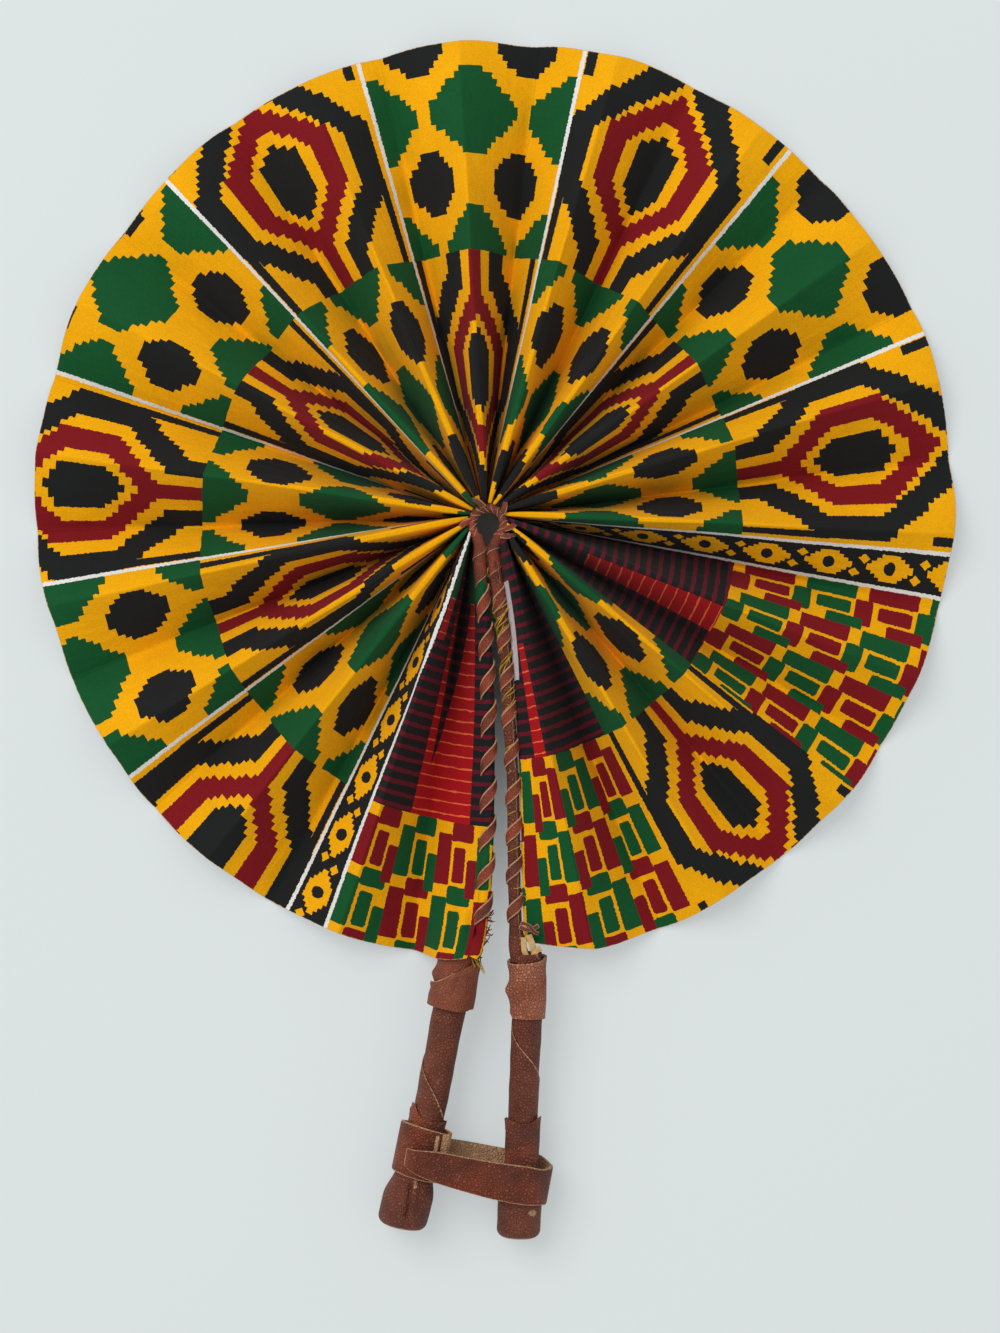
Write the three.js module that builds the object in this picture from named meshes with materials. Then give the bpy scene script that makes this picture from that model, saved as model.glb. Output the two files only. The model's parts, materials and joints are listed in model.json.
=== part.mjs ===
// A cockade folding fan: a pleated cloth leaf that opens to a full circle between two leather-bound sticks.
// Millimetres, +Z up. The open fan lies on its back, with the hub axis along Z and the handles towards -Y.
import * as THREE from "three";

const { degToRad, radToDeg, lerp, smoothstep } = THREE.MathUtils;

// The leaf: one pleated strip of print cloth on a thin stiffener
const LEAF_RADIUS = 183; // of the rim circle
const LEAF_SHIFT_X = 3.2; // from the hub axis to the rim circle's centre
const LEAF_SHIFT_Y = 9.4;
const LEAF_INNER_RADIUS = 9.4; // where the pleats end round the hub hole
const RIM_PLEAT_DEPTH = 7; // of the flattest pleat, at the rim
const CLOTH_THICKNESS = 0.7;
const FOLD_CLEARANCE = 0.4; // between the two panels that meet at a fold
const CREST_DROP = 5; // how far the crests round down at the hub
const CREST_DROP_REACH = 8; // over this length
const PANELS = 37; // 18 ridges and 18 valleys lie between them
const STICK_GAP_ANGLE = 4.8; // between the leaf's two ends, at the rim
const STICK_GAP_MIDDLE = 272; // direction of that gap
const HUB_GAP_ANGLE = 88; // between the first and last fold, at the hub
const PLEAT_BOW = 3.4; // the middle pleats sit this far round towards the right stick
const HINGE_RADIUS = 8.2; // the pleats turn about points on this circle
const RIDGE_LIFT = 5; // degrees that a ridge rises as the fan closes
const STACK_ANGLE = 265; // direction of the folded leaf

// The sticks, both given at their centre lines, as distances to the right of the hub axis
const STICK_INNER_REACH = 15; // from the hub axis to a stick's hub end
const STICK_DROP = 9; // a stick's hub end lies this far under the crests
const STICK_HUB_OFFSET = 3.3;
const LEFT_MID_OFFSET = -0.8;
const LEFT_RIM_OFFSET = -5;
const LEFT_HANDLE_OFFSET = -12.4;
const LEFT_LEAN = 11.5; // degrees, handle end to the left
const LEFT_GRIP_RADIUS = 6.5;
const LEFT_KNOB_RADIUS = 10;
const RIGHT_MID_OFFSET = 9.6;
const RIGHT_RIM_OFFSET = 14.2;
const RIGHT_HANDLE_OFFSET = 16.2;
const RIGHT_LEAN = 2.1;
const RIGHT_GRIP_RADIUS = 6;
const RIGHT_KNOB_RADIUS = 8.8;
const RIM_INSET = 7; // a stick passes the rim point this far inside the rim
const HANDLE_RISE = 10; // from the rim to where the handle runs straight
const HANDLE_LENGTH = 100;
const CORE_HUB_RADIUS = 1; // the wooden core tapers towards the hub
const CORE_RIM_RADIUS = 2;
const CORE_SHOULDER = 14; // length of the core's swelling at the rim

// Leather on the sticks
const LAYER_CLEARANCE = 0.15; // between one layer and the next
const BINDING_WALL = 0.5;
const BINDING_LEAD = 1; // from the binding's end to the core's swelling
const LACE_RADIUS = 0.6;
const LACE_LEAD = 5; // from the binding's ends to the lacing's
const LEFT_LACE_TURNS = 7;
const RIGHT_LACE_TURNS = 8;
const HEM_CLEARANCE = 0.3; // from the lacing to the cloth's edge
const HEM_LEAD = 5; // the cloth starts this far from the stick's hub end
const GRIP_WALL = 1.7;
const COLLAR_WALL = 1.9;
const COLLAR_LEAD = 4; // from the rim point to the collar
const COLLAR_LENGTH = 23;
const SLEEVE_WALL = 0.9;
const SLEEVE_LENGTH = 20;
const SLEEVE_LEAD = 4; // from the end cap to the sleeve
const CAP_LENGTH = 24;
const CAP_LIP_WALL = 0.8; // at the cap's mouth
const CAP_SWELL = 12; // from the mouth to the full knob
const CAP_FLOOR = 4; // solid leather at the knob's end
const CAP_ROUND = 3; // of the knob's end edge

// The hub: a thong through the pleats, whipped with a finer lace
const RING_DROP = 7; // the thong lies this far under the crests
const RING_THONG_RADIUS = 1;
const WHIP_RADIUS = 0.45;
const WHIP_TURNS = 9;
const RING_LEG_OFFSET = 2.5; // of the thong's two ends, from the hub axis
const RING_OPEN_ANGLE = 96; // of the ring, where the thong's legs run down

// The closure strap round both handles
const STRAP_THICKNESS = 1.6;
const STRAP_HEIGHT = 15;
const STRAP_COLLAR_RISE = 9; // the band widens upwards where it wraps the left handle
const STRAP_CLEARANCE = 0.6; // inside the loop, to the knob or sleeve in it
const STRAP_LEFT_UP = 27; // from the handle's end to the band's middle
const STRAP_RIGHT_UP = 21;
const STRAP_TRAVEL = 34; // slipping the loop off the handles

// How finely curved shapes are cut
const PANEL_ROWS = 11;
const TUBE_SIDES = 12;
const TUBE_STEP = 12;
const TURN_STEPS = 12;
const LACE_SIDES = 5;
const ROUND_STEPS = 3;
const SHOULDER_STEPS = 5;
const BEND_STEPS = 8;

const LEATHER = new THREE.MeshStandardMaterial({ color: 0x7c4029, roughness: 0.6, metalness: 0 });
const DARK_LEATHER = new THREE.MeshStandardMaterial({ color: 0x64301f, roughness: 0.65, metalness: 0 });
const WOOD = new THREE.MeshStandardMaterial({ color: 0xb58d5e, roughness: 0.75, metalness: 0 });
const CLOTH = new THREE.MeshStandardMaterial({ color: 0xf4b01c, roughness: 0.85, metalness: 0 });

// Sizes that follow from the ones above
const gapHalf = STICK_GAP_ANGLE / 2;
const leafSpan = 360 - STICK_GAP_ANGLE;
const panelAngle = leafSpan / PANELS;
const folds = PANELS - 1;
const shift = new THREE.Vector2(LEAF_SHIFT_X, LEAF_SHIFT_Y);
const widestReach = LEAF_RADIUS + shift.length();
const facetWidth = Math.hypot(widestReach * degToRad(panelAngle), RIM_PLEAT_DEPTH);
const crestLevel = facetWidth + CLOTH_THICKNESS / 2;
const foldGap = CLOTH_THICKNESS + FOLD_CLEARANCE;
const ringLevel = crestLevel - RING_DROP;
// The strap passes under both knobs.
const handleEndLevel = Math.max(LEFT_KNOB_RADIUS, RIGHT_KNOB_RADIUS) + STRAP_THICKNESS;

// Geometry helpers

// A closed solid through a row of rings with equal point counts.
// A looped row joins its last ring to its first. The two halves of a ring are split along matching diagonals,
// so that a twisted sheet keeps its thickness.
function loft(rings, looped = false) {
  const sides = rings[0].length;
  const points = rings.flat();
  const faces = [];
  const joins = looped ? rings.length : rings.length - 1;
  for (let i = 0; i < joins; i++) {
    const here = i * sides;
    const next = ((i + 1) % rings.length) * sides;
    for (let k = 0; k < sides; k++) {
      const m = (k + 1) % sides;
      if (k < sides / 2) faces.push([here + k, here + m, next + m], [here + k, next + m, next + k]);
      else faces.push([here + k, here + m, next + k], [here + m, next + m, next + k]);
    }
  }
  if (!looped) {
    const last = (rings.length - 1) * sides;
    for (let k = 1; k < sides - 1; k++) {
      faces.push([0, k + 1, k], [last, last + k, last + k + 1]);
    }
  }
  const volume = faces.reduce(
    (sum, [a, b, c]) => sum + points[a].dot(new THREE.Vector3().crossVectors(points[b], points[c])),
    0,
  );
  const outward = volume > 0 ? faces : faces.map(([a, b, c]) => [a, c, b]);
  const geometry = new THREE.BufferGeometry().setFromPoints(points).setIndex(outward.flat());
  geometry.computeVertexNormals();
  return geometry;
}

function piece(name, geometry, material) {
  const mesh = new THREE.Mesh(geometry, material);
  mesh.name = name;
  return mesh;
}

const flat = (degrees, radius) =>
  new THREE.Vector2(Math.cos(degToRad(degrees)), Math.sin(degToRad(degrees))).multiplyScalar(radius);

// Distance from the hub axis to the rim circle, in one direction.
function rimReach(degrees) {
  const ahead = flat(degrees, 1);
  const along = ahead.dot(shift);
  const across = ahead.cross(shift);
  return along + Math.sqrt(LEAF_RADIUS ** 2 - across ** 2);
}

// The round section of a path at a distance along it, with its frame held upright.
function ringAt(path, distance, radius, sides = TUBE_SIDES) {
  const { middle, side, up } = path.frame(distance);
  return Array.from({ length: sides }, (_, k) => {
    const turn = (2 * Math.PI * k) / sides;
    return middle
      .clone()
      .addScaledVector(side, radius * Math.cos(turn))
      .addScaledVector(up, radius * Math.sin(turn));
  });
}

// Distances from one place to another in equal steps no longer than TUBE_STEP.
function steps(from, to, longest = TUBE_STEP) {
  const count = Math.max(1, Math.ceil((to - from) / longest));
  return Array.from({ length: count + 1 }, (_, i) => lerp(from, to, i / count));
}

function solidTube(path, places, radius) {
  return loft(places.map((d) => ringAt(path, d, radius(d))));
}

function hollowTube(path, places, outer, inner) {
  const outside = places.map((d) => ringAt(path, d, outer(d)));
  const inside = places.map((d) => ringAt(path, d, inner(d))).reverse();
  return loft([...outside, ...inside], true);
}

// A lace wound round a path: one unbroken tube, with a straight tail of one diameter at each end.
function winding(name, path, from, to, turns, coreRadius, laceRadius) {
  const wound = Math.round(turns * TURN_STEPS);
  const centres = Array.from({ length: wound + 1 }, (_, i) => {
    const d = lerp(from, to, i / wound);
    const { middle, side, up } = path.frame(d);
    const turn = (2 * Math.PI * i) / TURN_STEPS;
    const radius = coreRadius(d) + LAYER_CLEARANCE + laceRadius;
    middle.addScaledVector(side, radius * Math.cos(turn));
    return middle.addScaledVector(up, radius * Math.sin(turn));
  });
  const tailAt = (d, at, way) => at.clone().addScaledVector(path.frame(d).ahead, way * 2 * laceRadius);
  centres.unshift(tailAt(from, centres[0], -1));
  centres.push(tailAt(to, centres.at(-1), 1));
  console.log(`${name} least gap to itself: ${leastGap(centres, 2 * laceRadius).toFixed(2)} mm`);
  return loft(centres.map((_, i) => laceRing(centres, i, laceRadius)));
}

// The section of a lace at one of its centres, square to the lace there.
function laceRing(centres, i, radius) {
  const before = centres[Math.max(0, i - 1)];
  const after = centres[Math.min(centres.length - 1, i + 1)];
  const ahead = after.clone().sub(before).normalize();
  const up = new THREE.Vector3(0, 0, 1).addScaledVector(ahead, -ahead.z).normalize();
  const side = new THREE.Vector3().crossVectors(ahead, up);
  return Array.from({ length: LACE_SIDES }, (_, k) => {
    const turn = (2 * Math.PI * k) / LACE_SIDES;
    return centres[i]
      .clone()
      .addScaledVector(side, radius * Math.cos(turn))
      .addScaledVector(up, radius * Math.sin(turn));
  });
}

// The least clear distance between parts of a winding that are at least half a turn apart.
function leastGap(centres, diameter) {
  let least = Infinity;
  for (let i = 0; i < centres.length; i++) {
    for (let k = i + TURN_STEPS / 2; k < centres.length; k++) {
      least = Math.min(least, centres[i].distanceTo(centres[k]) - diameter);
    }
  }
  return least;
}

// A centre line that can be asked for its frame at any distance along it.
class Path {
  constructor(points) {
    this.curve = new THREE.CatmullRomCurve3(points, false, "centripetal");
    this.curve.arcLengthDivisions = 400;
    this.length = this.curve.getLength();
  }

  frame(distance) {
    const at = THREE.MathUtils.clamp(distance / this.length, 0, 1);
    const middle = this.curve.getPointAt(at);
    const ahead = this.curve.getTangentAt(at);
    const side = new THREE.Vector3().crossVectors(ahead, new THREE.Vector3(0, 0, 1)).normalize();
    const up = new THREE.Vector3().crossVectors(side, ahead);
    return { middle, ahead, side, up };
  }

  // The distance along the path at which it passes a given distance down the page.
  whereDown(down) {
    let low = 0;
    let high = this.length;
    for (let i = 0; i < 40; i++) {
      const middle = (low + high) / 2;
      if (-this.frame(middle).middle.y < down) low = middle;
      else high = middle;
    }
    return low;
  }
}

// One stick: its centre line, its radii along it, and the leather that covers it.
class Stick {
  constructor(name, sizes) {
    Object.assign(this, sizes, { name });
    const rim = rimReach(STICK_GAP_MIDDLE) - RIM_INSET;
    const handleTop = rim + RIM_INSET + HANDLE_RISE;
    const endX = this.handleOffset - HANDLE_LENGTH * Math.sin(degToRad(this.lean));
    const endDown = handleTop + HANDLE_LENGTH * Math.cos(degToRad(this.lean));
    const places = [
      [this.hubOffset, STICK_INNER_REACH],
      [this.midOffset, (STICK_INNER_REACH + rim) / 2],
      [this.rimOffset, rim],
      [this.handleOffset, handleTop],
      [(this.handleOffset + endX) / 2, (handleTop + endDown) / 2],
      [endX, endDown],
    ];
    const hubLevel = crestLevel - STICK_DROP;
    const level = (down) =>
      lerp(hubLevel, handleEndLevel, (down - STICK_INNER_REACH) / (endDown - STICK_INNER_REACH));
    this.path = new Path(places.map(([x, down]) => new THREE.Vector3(x, -down, level(down))));
    this.rimAt = this.path.whereDown(rim);
    this.coreHandleRadius = this.gripRadius - GRIP_WALL - LAYER_CLEARANCE;
    this.gripFrom = this.rimAt + COLLAR_LEAD;
    this.gripTo = this.path.length - CAP_FLOOR - LAYER_CLEARANCE;
    this.shoulderFrom = this.gripFrom - CORE_SHOULDER;
    this.bindingTo = this.shoulderFrom - BINDING_LEAD;
    this.capFrom = this.path.length - CAP_LENGTH;
    this.overGrip = this.gripRadius + LAYER_CLEARANCE;
  }

  coreRadius(d) {
    const taper = lerp(CORE_HUB_RADIUS, CORE_RIM_RADIUS, Math.min(1, d / this.rimAt));
    const swelling = smoothstep(d, this.shoulderFrom, this.gripFrom);
    return lerp(taper, this.coreHandleRadius, swelling);
  }

  bindingRadius(d) {
    const inner = this.coreRadius(Math.min(d, this.bindingTo));
    return inner + LAYER_CLEARANCE + BINDING_WALL;
  }

  // The end cap swells from its mouth to the full knob.
  capRadius(d) {
    const lip = this.overGrip + CAP_LIP_WALL;
    return lerp(lip, this.knobRadius, smoothstep(d, this.capFrom, this.capFrom + CAP_SWELL));
  }

  // Where the cloth's edge runs beside the lacing, on the leaf's side of the stick.
  hemPoint(d) {
    const { middle, side } = this.path.frame(d);
    const away = this.bindingRadius(d) + 2 * (LACE_RADIUS + LAYER_CLEARANCE) + HEM_CLEARANCE;
    return middle.addScaledVector(side, this.leafSide * Math.sign(side.x) * away);
  }

  build() {
    const { path, name } = this;
    const group = new THREE.Group();
    const core = (d) => this.coreRadius(d);
    const overCore = (d) => this.coreRadius(d) + LAYER_CLEARANCE;
    const overBinding = (d) => this.bindingRadius(d);
    const overGrip = () => this.overGrip;

    // Layers that lie on one another are cut at the same places along the stick.
    const bindingPlaces = steps(0, this.bindingTo, 2 * TUBE_STEP);
    const shoulderPlaces = steps(this.shoulderFrom, this.gripFrom, CORE_SHOULDER / SHOULDER_STEPS);
    const gripPlaces = steps(this.gripFrom, this.gripTo);
    const corePlaces = [...bindingPlaces, ...shoulderPlaces.slice(0, -1), ...gripPlaces];
    const sleeveTo = this.capFrom - SLEEVE_LEAD;
    const sleevePlaces = steps(sleeveTo - SLEEVE_LENGTH, sleeveTo);
    const collarPlaces = steps(this.gripFrom, this.gripFrom + COLLAR_LENGTH);

    group.add(
      piece(`${name}_stick`, solidTube(path, corePlaces, core), WOOD),
      piece(`${name}_edge_binding`, hollowTube(path, bindingPlaces, overBinding, overCore), LEATHER),
      piece(
        `${name}_edge_lacing`,
        winding(
          `${name}_edge_lacing`,
          path,
          LACE_LEAD,
          this.bindingTo - LACE_LEAD,
          this.laceTurns,
          overBinding,
          LACE_RADIUS,
        ),
        DARK_LEATHER,
      ),
      piece(`${name}_grip`, hollowTube(path, gripPlaces, () => this.gripRadius, overCore), LEATHER),
      piece(
        `${name}_collar`,
        hollowTube(path, collarPlaces, () => this.overGrip + COLLAR_WALL, overGrip),
        LEATHER,
      ),
      piece(
        `${name}_sleeve`,
        hollowTube(path, sleevePlaces, () => this.overGrip + SLEEVE_WALL, overGrip),
        DARK_LEATHER,
      ),
      piece(`${name}_end_cap`, this.endCap(), LEATHER),
    );
    return group;
  }

  // A leather knob: a cup over the grip's end that swells from its mouth to a rounded edge and a flat butt.
  endCap() {
    const { path, capFrom } = this;
    const inside = [path.length - CAP_FLOOR, capFrom].map((d) => ringAt(path, d, this.overGrip));
    const outside = steps(capFrom, path.length - CAP_ROUND, CAP_SWELL / ROUND_STEPS).map((d) =>
      ringAt(path, d, this.capRadius(d)),
    );
    const rounded = Array.from({ length: ROUND_STEPS }, (_, i) => {
      const turn = ((i + 1) / ROUND_STEPS) * (Math.PI / 2);
      const d = path.length - CAP_ROUND + CAP_ROUND * Math.sin(turn);
      return ringAt(path, d, this.knobRadius - CAP_ROUND + CAP_ROUND * Math.cos(turn));
    });
    return loft([...inside, ...outside, ...rounded]);
  }
}

const leftStick = new Stick("left", {
  leafSide: -1,
  hubOffset: -STICK_HUB_OFFSET,
  midOffset: LEFT_MID_OFFSET,
  rimOffset: LEFT_RIM_OFFSET,
  handleOffset: LEFT_HANDLE_OFFSET,
  lean: LEFT_LEAN,
  gripRadius: LEFT_GRIP_RADIUS,
  knobRadius: LEFT_KNOB_RADIUS,
  laceTurns: LEFT_LACE_TURNS,
});
const rightStick = new Stick("right", {
  leafSide: 1,
  hubOffset: STICK_HUB_OFFSET,
  midOffset: RIGHT_MID_OFFSET,
  rimOffset: RIGHT_RIM_OFFSET,
  handleOffset: RIGHT_HANDLE_OFFSET,
  lean: RIGHT_LEAN,
  gripRadius: RIGHT_GRIP_RADIUS,
  knobRadius: RIGHT_KNOB_RADIUS,
  laceTurns: RIGHT_LACE_TURNS,
});

// The leaf

// Fold lines run clockwise from the left stick: odd ones are valleys on the table, even ones are ridges.
class Fold {
  constructor(number) {
    const share = (number - 1) / (folds - 1);
    const bow = PLEAT_BOW * Math.sin(Math.PI * share);
    const rimAngle = STICK_GAP_MIDDLE - gapHalf - number * panelAngle - bow;
    const hubAngle = STICK_GAP_MIDDLE - HUB_GAP_ANGLE / 2 - share * (360 - HUB_GAP_ANGLE);
    this.isRidge = number % 2 === 0;
    this.inner = flat(hubAngle, LEAF_INNER_RADIUS);
    this.outer = flat(rimAngle, rimReach(rimAngle));
    const ahead = this.outer.clone().sub(this.inner);
    // Directions are unwound so that they fall steadily from the left stick to the right one.
    this.angle = radToDeg(Math.atan2(ahead.y, ahead.x));
    while (this.angle < rimAngle - 180) this.angle += 360;
    while (this.angle > rimAngle + 180) this.angle -= 360;
    this.across = new THREE.Vector3(-ahead.y, ahead.x, 0).normalize();
  }

  // A point on the fold, moved across it by a signed distance; the share runs from the hub end to the rim.
  point(share, sideways) {
    const place = this.inner.clone().lerp(this.outer, share);
    const reach = place.length();
    const pitch = reach * degToRad(panelAngle);
    const depth = Math.sqrt(facetWidth ** 2 - pitch ** 2);
    const drop = CREST_DROP * Math.exp(-(reach - LEAF_INNER_RADIUS) / CREST_DROP_REACH);
    const level = CLOTH_THICKNESS / 2 + (this.isRidge ? depth - drop : 0);
    return new THREE.Vector3(place.x, place.y, level).addScaledVector(this.across, sideways);
  }

  // The share of the fold's length at a distance from the hub axis.
  shareAt(reach) {
    let low = 0;
    let high = 1;
    for (let i = 0; i < 40; i++) {
      const middle = (low + high) / 2;
      if (this.inner.clone().lerp(this.outer, middle).length() < reach) low = middle;
      else high = middle;
    }
    return low;
  }
}

const foldLines = Array.from({ length: folds }, (_, i) => new Fold(i + 1));

// One panel of cloth: a sheet between two edge lines, each a list of points from the hub to the rim.
function panelSolid(firstEdge, secondEdge) {
  const rings = firstEdge.map((a, i) => {
    const b = secondEdge[i];
    const before = Math.max(0, i - 1);
    const after = Math.min(firstEdge.length - 1, i + 1);
    const ahead = firstEdge[after].clone().sub(firstEdge[before]);
    ahead.add(secondEdge[after]).sub(secondEdge[before]);
    const across = b.clone().sub(a);
    const normal = new THREE.Vector3().crossVectors(ahead, across).setLength(CLOTH_THICKNESS / 2);
    return [a.clone().add(normal), b.clone().add(normal), b.clone().sub(normal), a.clone().sub(normal)];
  });
  return loft(rings);
}

const rowShares = Array.from({ length: PANEL_ROWS + 1 }, (_, i) => i / PANEL_ROWS);

// The panel between a stick's hem and the fold next to it starts where the stick does.
function edgePanel(stick, fold, sideways) {
  const hemFrom = HEM_LEAD;
  const hemTo = stick.rimAt;
  const from = fold.shareAt(stick.hemPoint(hemFrom).setZ(0).length());
  const hem = rowShares.map((s) => stick.hemPoint(lerp(hemFrom, hemTo, s)));
  const line = rowShares.map((s) => fold.point(lerp(from, 1, s), sideways));
  return panelSolid(hem, line);
}

function buildLeaf() {
  const group = new THREE.Group();
  for (let number = 1; number <= PANELS; number++) {
    const name = `leaf_panel_${String(number).padStart(2, "0")}`;
    let solid;
    if (number === 1) solid = edgePanel(leftStick, foldLines[0], foldGap / 2);
    else if (number === PANELS) solid = edgePanel(rightStick, foldLines[folds - 1], -foldGap / 2);
    else {
      const first = foldLines[number - 2];
      const second = foldLines[number - 1];
      solid = panelSolid(
        rowShares.map((s) => first.point(s, -foldGap / 2)),
        rowShares.map((s) => second.point(s, foldGap / 2)),
      );
    }
    group.add(piece(name, solid, CLOTH));
  }
  return group;
}

// The hub

function buildHub() {
  const group = new THREE.Group();
  const whipReach = RING_THONG_RADIUS + LAYER_CLEARANCE + 2 * WHIP_RADIUS;
  const ringRadius = LEAF_INNER_RADIUS - whipReach - LAYER_CLEARANCE;
  const legDown = STICK_INNER_REACH - whipReach / 2;
  const half = (360 - RING_OPEN_ANGLE) / 2;
  const top = STICK_GAP_MIDDLE - 180;
  const ringCount = 2 * BEND_STEPS;
  const points = Array.from({ length: ringCount + 1 }, (_, i) => {
    const place = flat(lerp(top + half, top - half, i / ringCount), ringRadius);
    return new THREE.Vector3(place.x, place.y, ringLevel);
  });
  points.unshift(new THREE.Vector3(-RING_LEG_OFFSET, -legDown, ringLevel));
  points.push(new THREE.Vector3(RING_LEG_OFFSET, -legDown, ringLevel));
  const path = new Path(points);
  const places = steps(0, path.length, path.length / (4 * BEND_STEPS));
  group.add(
    piece("hub_thong", solidTube(path, places, () => RING_THONG_RADIUS), LEATHER),
    piece(
      "hub_whipping",
      winding(
        "hub_whipping",
        path,
        4 * WHIP_RADIUS,
        path.length - 4 * WHIP_RADIUS,
        WHIP_TURNS,
        () => RING_THONG_RADIUS,
        WHIP_RADIUS,
      ),
      DARK_LEATHER,
    ),
  );
  return group;
}

// The closure strap: a flat band that runs round both handles, taller where it wraps the left one.
function buildStrap() {
  const leftAt = leftStick.path.length - STRAP_LEFT_UP;
  const rightAt = rightStick.path.length - STRAP_RIGHT_UP;
  const left = leftStick.path.frame(leftAt);
  const right = rightStick.path.frame(rightAt);
  const along = right.middle.clone().sub(left.middle);
  const span = along.length();
  along.normalize();
  const down = left.ahead.clone().add(right.ahead);
  down.addScaledVector(along, -down.dot(along)).normalize();
  const out = new THREE.Vector3().crossVectors(along, down).negate();
  // A handle that leans against the band needs more room inside it, over the band's height.
  const bendRadius = (stick, at, { ahead }, tallest) =>
    stick.capRadius(at + tallest) / down.dot(ahead) +
    tallest * Math.tan(down.angleTo(ahead)) +
    STRAP_CLEARANCE +
    STRAP_THICKNESS / 2;
  const leftRadius = bendRadius(leftStick, leftAt, left, STRAP_HEIGHT / 2);
  const rightRadius = bendRadius(rightStick, rightAt, right, STRAP_HEIGHT / 2);
  const tilt = Math.asin((rightRadius - leftRadius) / span);
  const bend = (centre, radius, from, to) =>
    Array.from({ length: BEND_STEPS + 1 }, (_, i) => {
      const turn = lerp(from, to, i / BEND_STEPS);
      return { at: centre, turn, radius };
    });
  const half = Math.PI / 2 + tilt;
  const stations = [
    ...bend(left.middle, leftRadius, half, 2 * Math.PI - half),
    ...bend(right.middle, rightRadius, -half, half),
  ];
  const rings = stations.map(({ at, turn, radius }, i) => {
    const rise = i <= BEND_STEPS ? STRAP_COLLAR_RISE : 0;
    const upper = -STRAP_HEIGHT / 2 - rise;
    const lower = STRAP_HEIGHT / 2;
    const outward = along.clone().multiplyScalar(Math.cos(turn)).addScaledVector(out, Math.sin(turn));
    const corner = (away, drop) =>
      at.clone().addScaledVector(outward, radius + away).addScaledVector(down, drop);
    const wall = STRAP_THICKNESS / 2;
    return [corner(wall, lower), corner(wall, upper), corner(-wall, upper), corner(-wall, lower)];
  });
  const strap = piece("closure_strap", loft(rings, true), LEATHER);
  strap.userData = { joint: "strap_slip", axis: right.ahead.clone(), travel: STRAP_TRAVEL };
  return strap;
}

// Fold hinges: each pleat turns about a point near the hub, and ridges lift while the leaf closes.
function foldHinges() {
  const half = (foldLines[0].angle - foldLines[folds - 1].angle) / (folds - 1) / 2;
  const lift = (fold) => {
    const ahead = flat(fold.angle, 1);
    const axis = new THREE.Vector3(ahead.y, -ahead.x, 0);
    return new THREE.Matrix4().makeRotationAxis(axis, fold.isRidge ? degToRad(RIDGE_LIFT) : 0);
  };
  const { middle: stickHub } = rightStick.path.frame(0);
  const { middle: stickRim } = rightStick.path.frame(rightStick.rimAt);
  const stickAhead = stickRim.sub(stickHub);
  const stickAngle = radToDeg(Math.atan2(stickAhead.y, stickAhead.x));
  return Array.from({ length: PANELS }, (_, i) => {
    const before = foldLines[i - 1];
    const after = foldLines[i];
    let closing;
    if (!before) closing = STACK_ANGLE - after.angle;
    else if (!after) closing = before.angle - stickAngle;
    else closing = before.angle - after.angle;
    const place = flat(before ? before.angle - half : after.angle + half, HINGE_RADIUS);
    const turn = new THREE.Matrix4().makeRotationZ(degToRad(closing));
    if (before) turn.premultiply(lift(before).invert());
    if (after) turn.multiply(lift(after));
    const spin = new THREE.Quaternion().setFromRotationMatrix(turn);
    const axis = new THREE.Vector3(spin.x, spin.y, spin.z).normalize();
    const angle = radToDeg(2 * Math.acos(Math.min(1, spin.w)));
    return { point: new THREE.Vector3(place.x, place.y, ringLevel), axis, angle };
  });
}

// The whole fan stands with the middle of its footprint at the origin.
const fan = new THREE.Group();
fan.name = "folding_fan";
const assembly = new THREE.Group();
assembly.add(buildLeaf(), leftStick.build(), rightStick.build(), buildHub(), buildStrap());
const box = new THREE.Box3().setFromObject(assembly, true);
const middle = box.getCenter(new THREE.Vector3());
assembly.position.set(-middle.x, -middle.y, -box.min.z);
fan.add(assembly);
fan.userData = {
  hub: assembly.position.clone(),
  hinges: foldHinges(),
  handleEnds: [leftStick, rightStick].map((stick) => stick.path.frame(stick.path.length)),
};

export default fan;
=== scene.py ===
"""A cockade folding fan: a round pleated leaf of print cloth between two leather-bound sticks.

The packed fan is the frame. Its lines are repeated here in millimetres about the hub axis, and each mesh is
moved to the frame's metres as it is laid. Angles are in degrees. Round a stick, 0 is its left side and 90 its
top.
"""

import bisect
import json
import logging
import math
import random
from collections.abc import Callable, Sequence
from dataclasses import dataclass, field
from enum import Enum

import bmesh
import bpy
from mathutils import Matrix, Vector, noise


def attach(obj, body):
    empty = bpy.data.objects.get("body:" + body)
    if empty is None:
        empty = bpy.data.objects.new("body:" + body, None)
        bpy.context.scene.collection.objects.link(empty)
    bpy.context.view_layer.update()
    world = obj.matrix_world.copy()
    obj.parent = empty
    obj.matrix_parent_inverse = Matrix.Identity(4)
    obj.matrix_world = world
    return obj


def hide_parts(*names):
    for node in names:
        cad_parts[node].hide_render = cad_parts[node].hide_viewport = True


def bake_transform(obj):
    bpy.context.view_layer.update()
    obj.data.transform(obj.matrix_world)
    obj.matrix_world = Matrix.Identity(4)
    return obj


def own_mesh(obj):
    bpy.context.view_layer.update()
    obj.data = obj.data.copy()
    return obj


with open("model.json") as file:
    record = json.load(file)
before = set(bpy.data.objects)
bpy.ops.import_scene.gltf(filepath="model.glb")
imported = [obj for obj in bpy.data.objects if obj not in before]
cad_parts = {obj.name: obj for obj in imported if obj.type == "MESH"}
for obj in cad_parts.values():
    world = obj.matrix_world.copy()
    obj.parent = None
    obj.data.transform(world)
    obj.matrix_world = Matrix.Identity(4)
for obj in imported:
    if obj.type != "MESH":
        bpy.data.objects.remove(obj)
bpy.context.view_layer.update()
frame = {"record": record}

LOG = logging.getLogger("fan")
MM = 0.001
WELD = 2e-7  # points closer than this are one point
CRISP_EDGE = 48.0  # an edge that turns by more than this stays crisp
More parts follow.
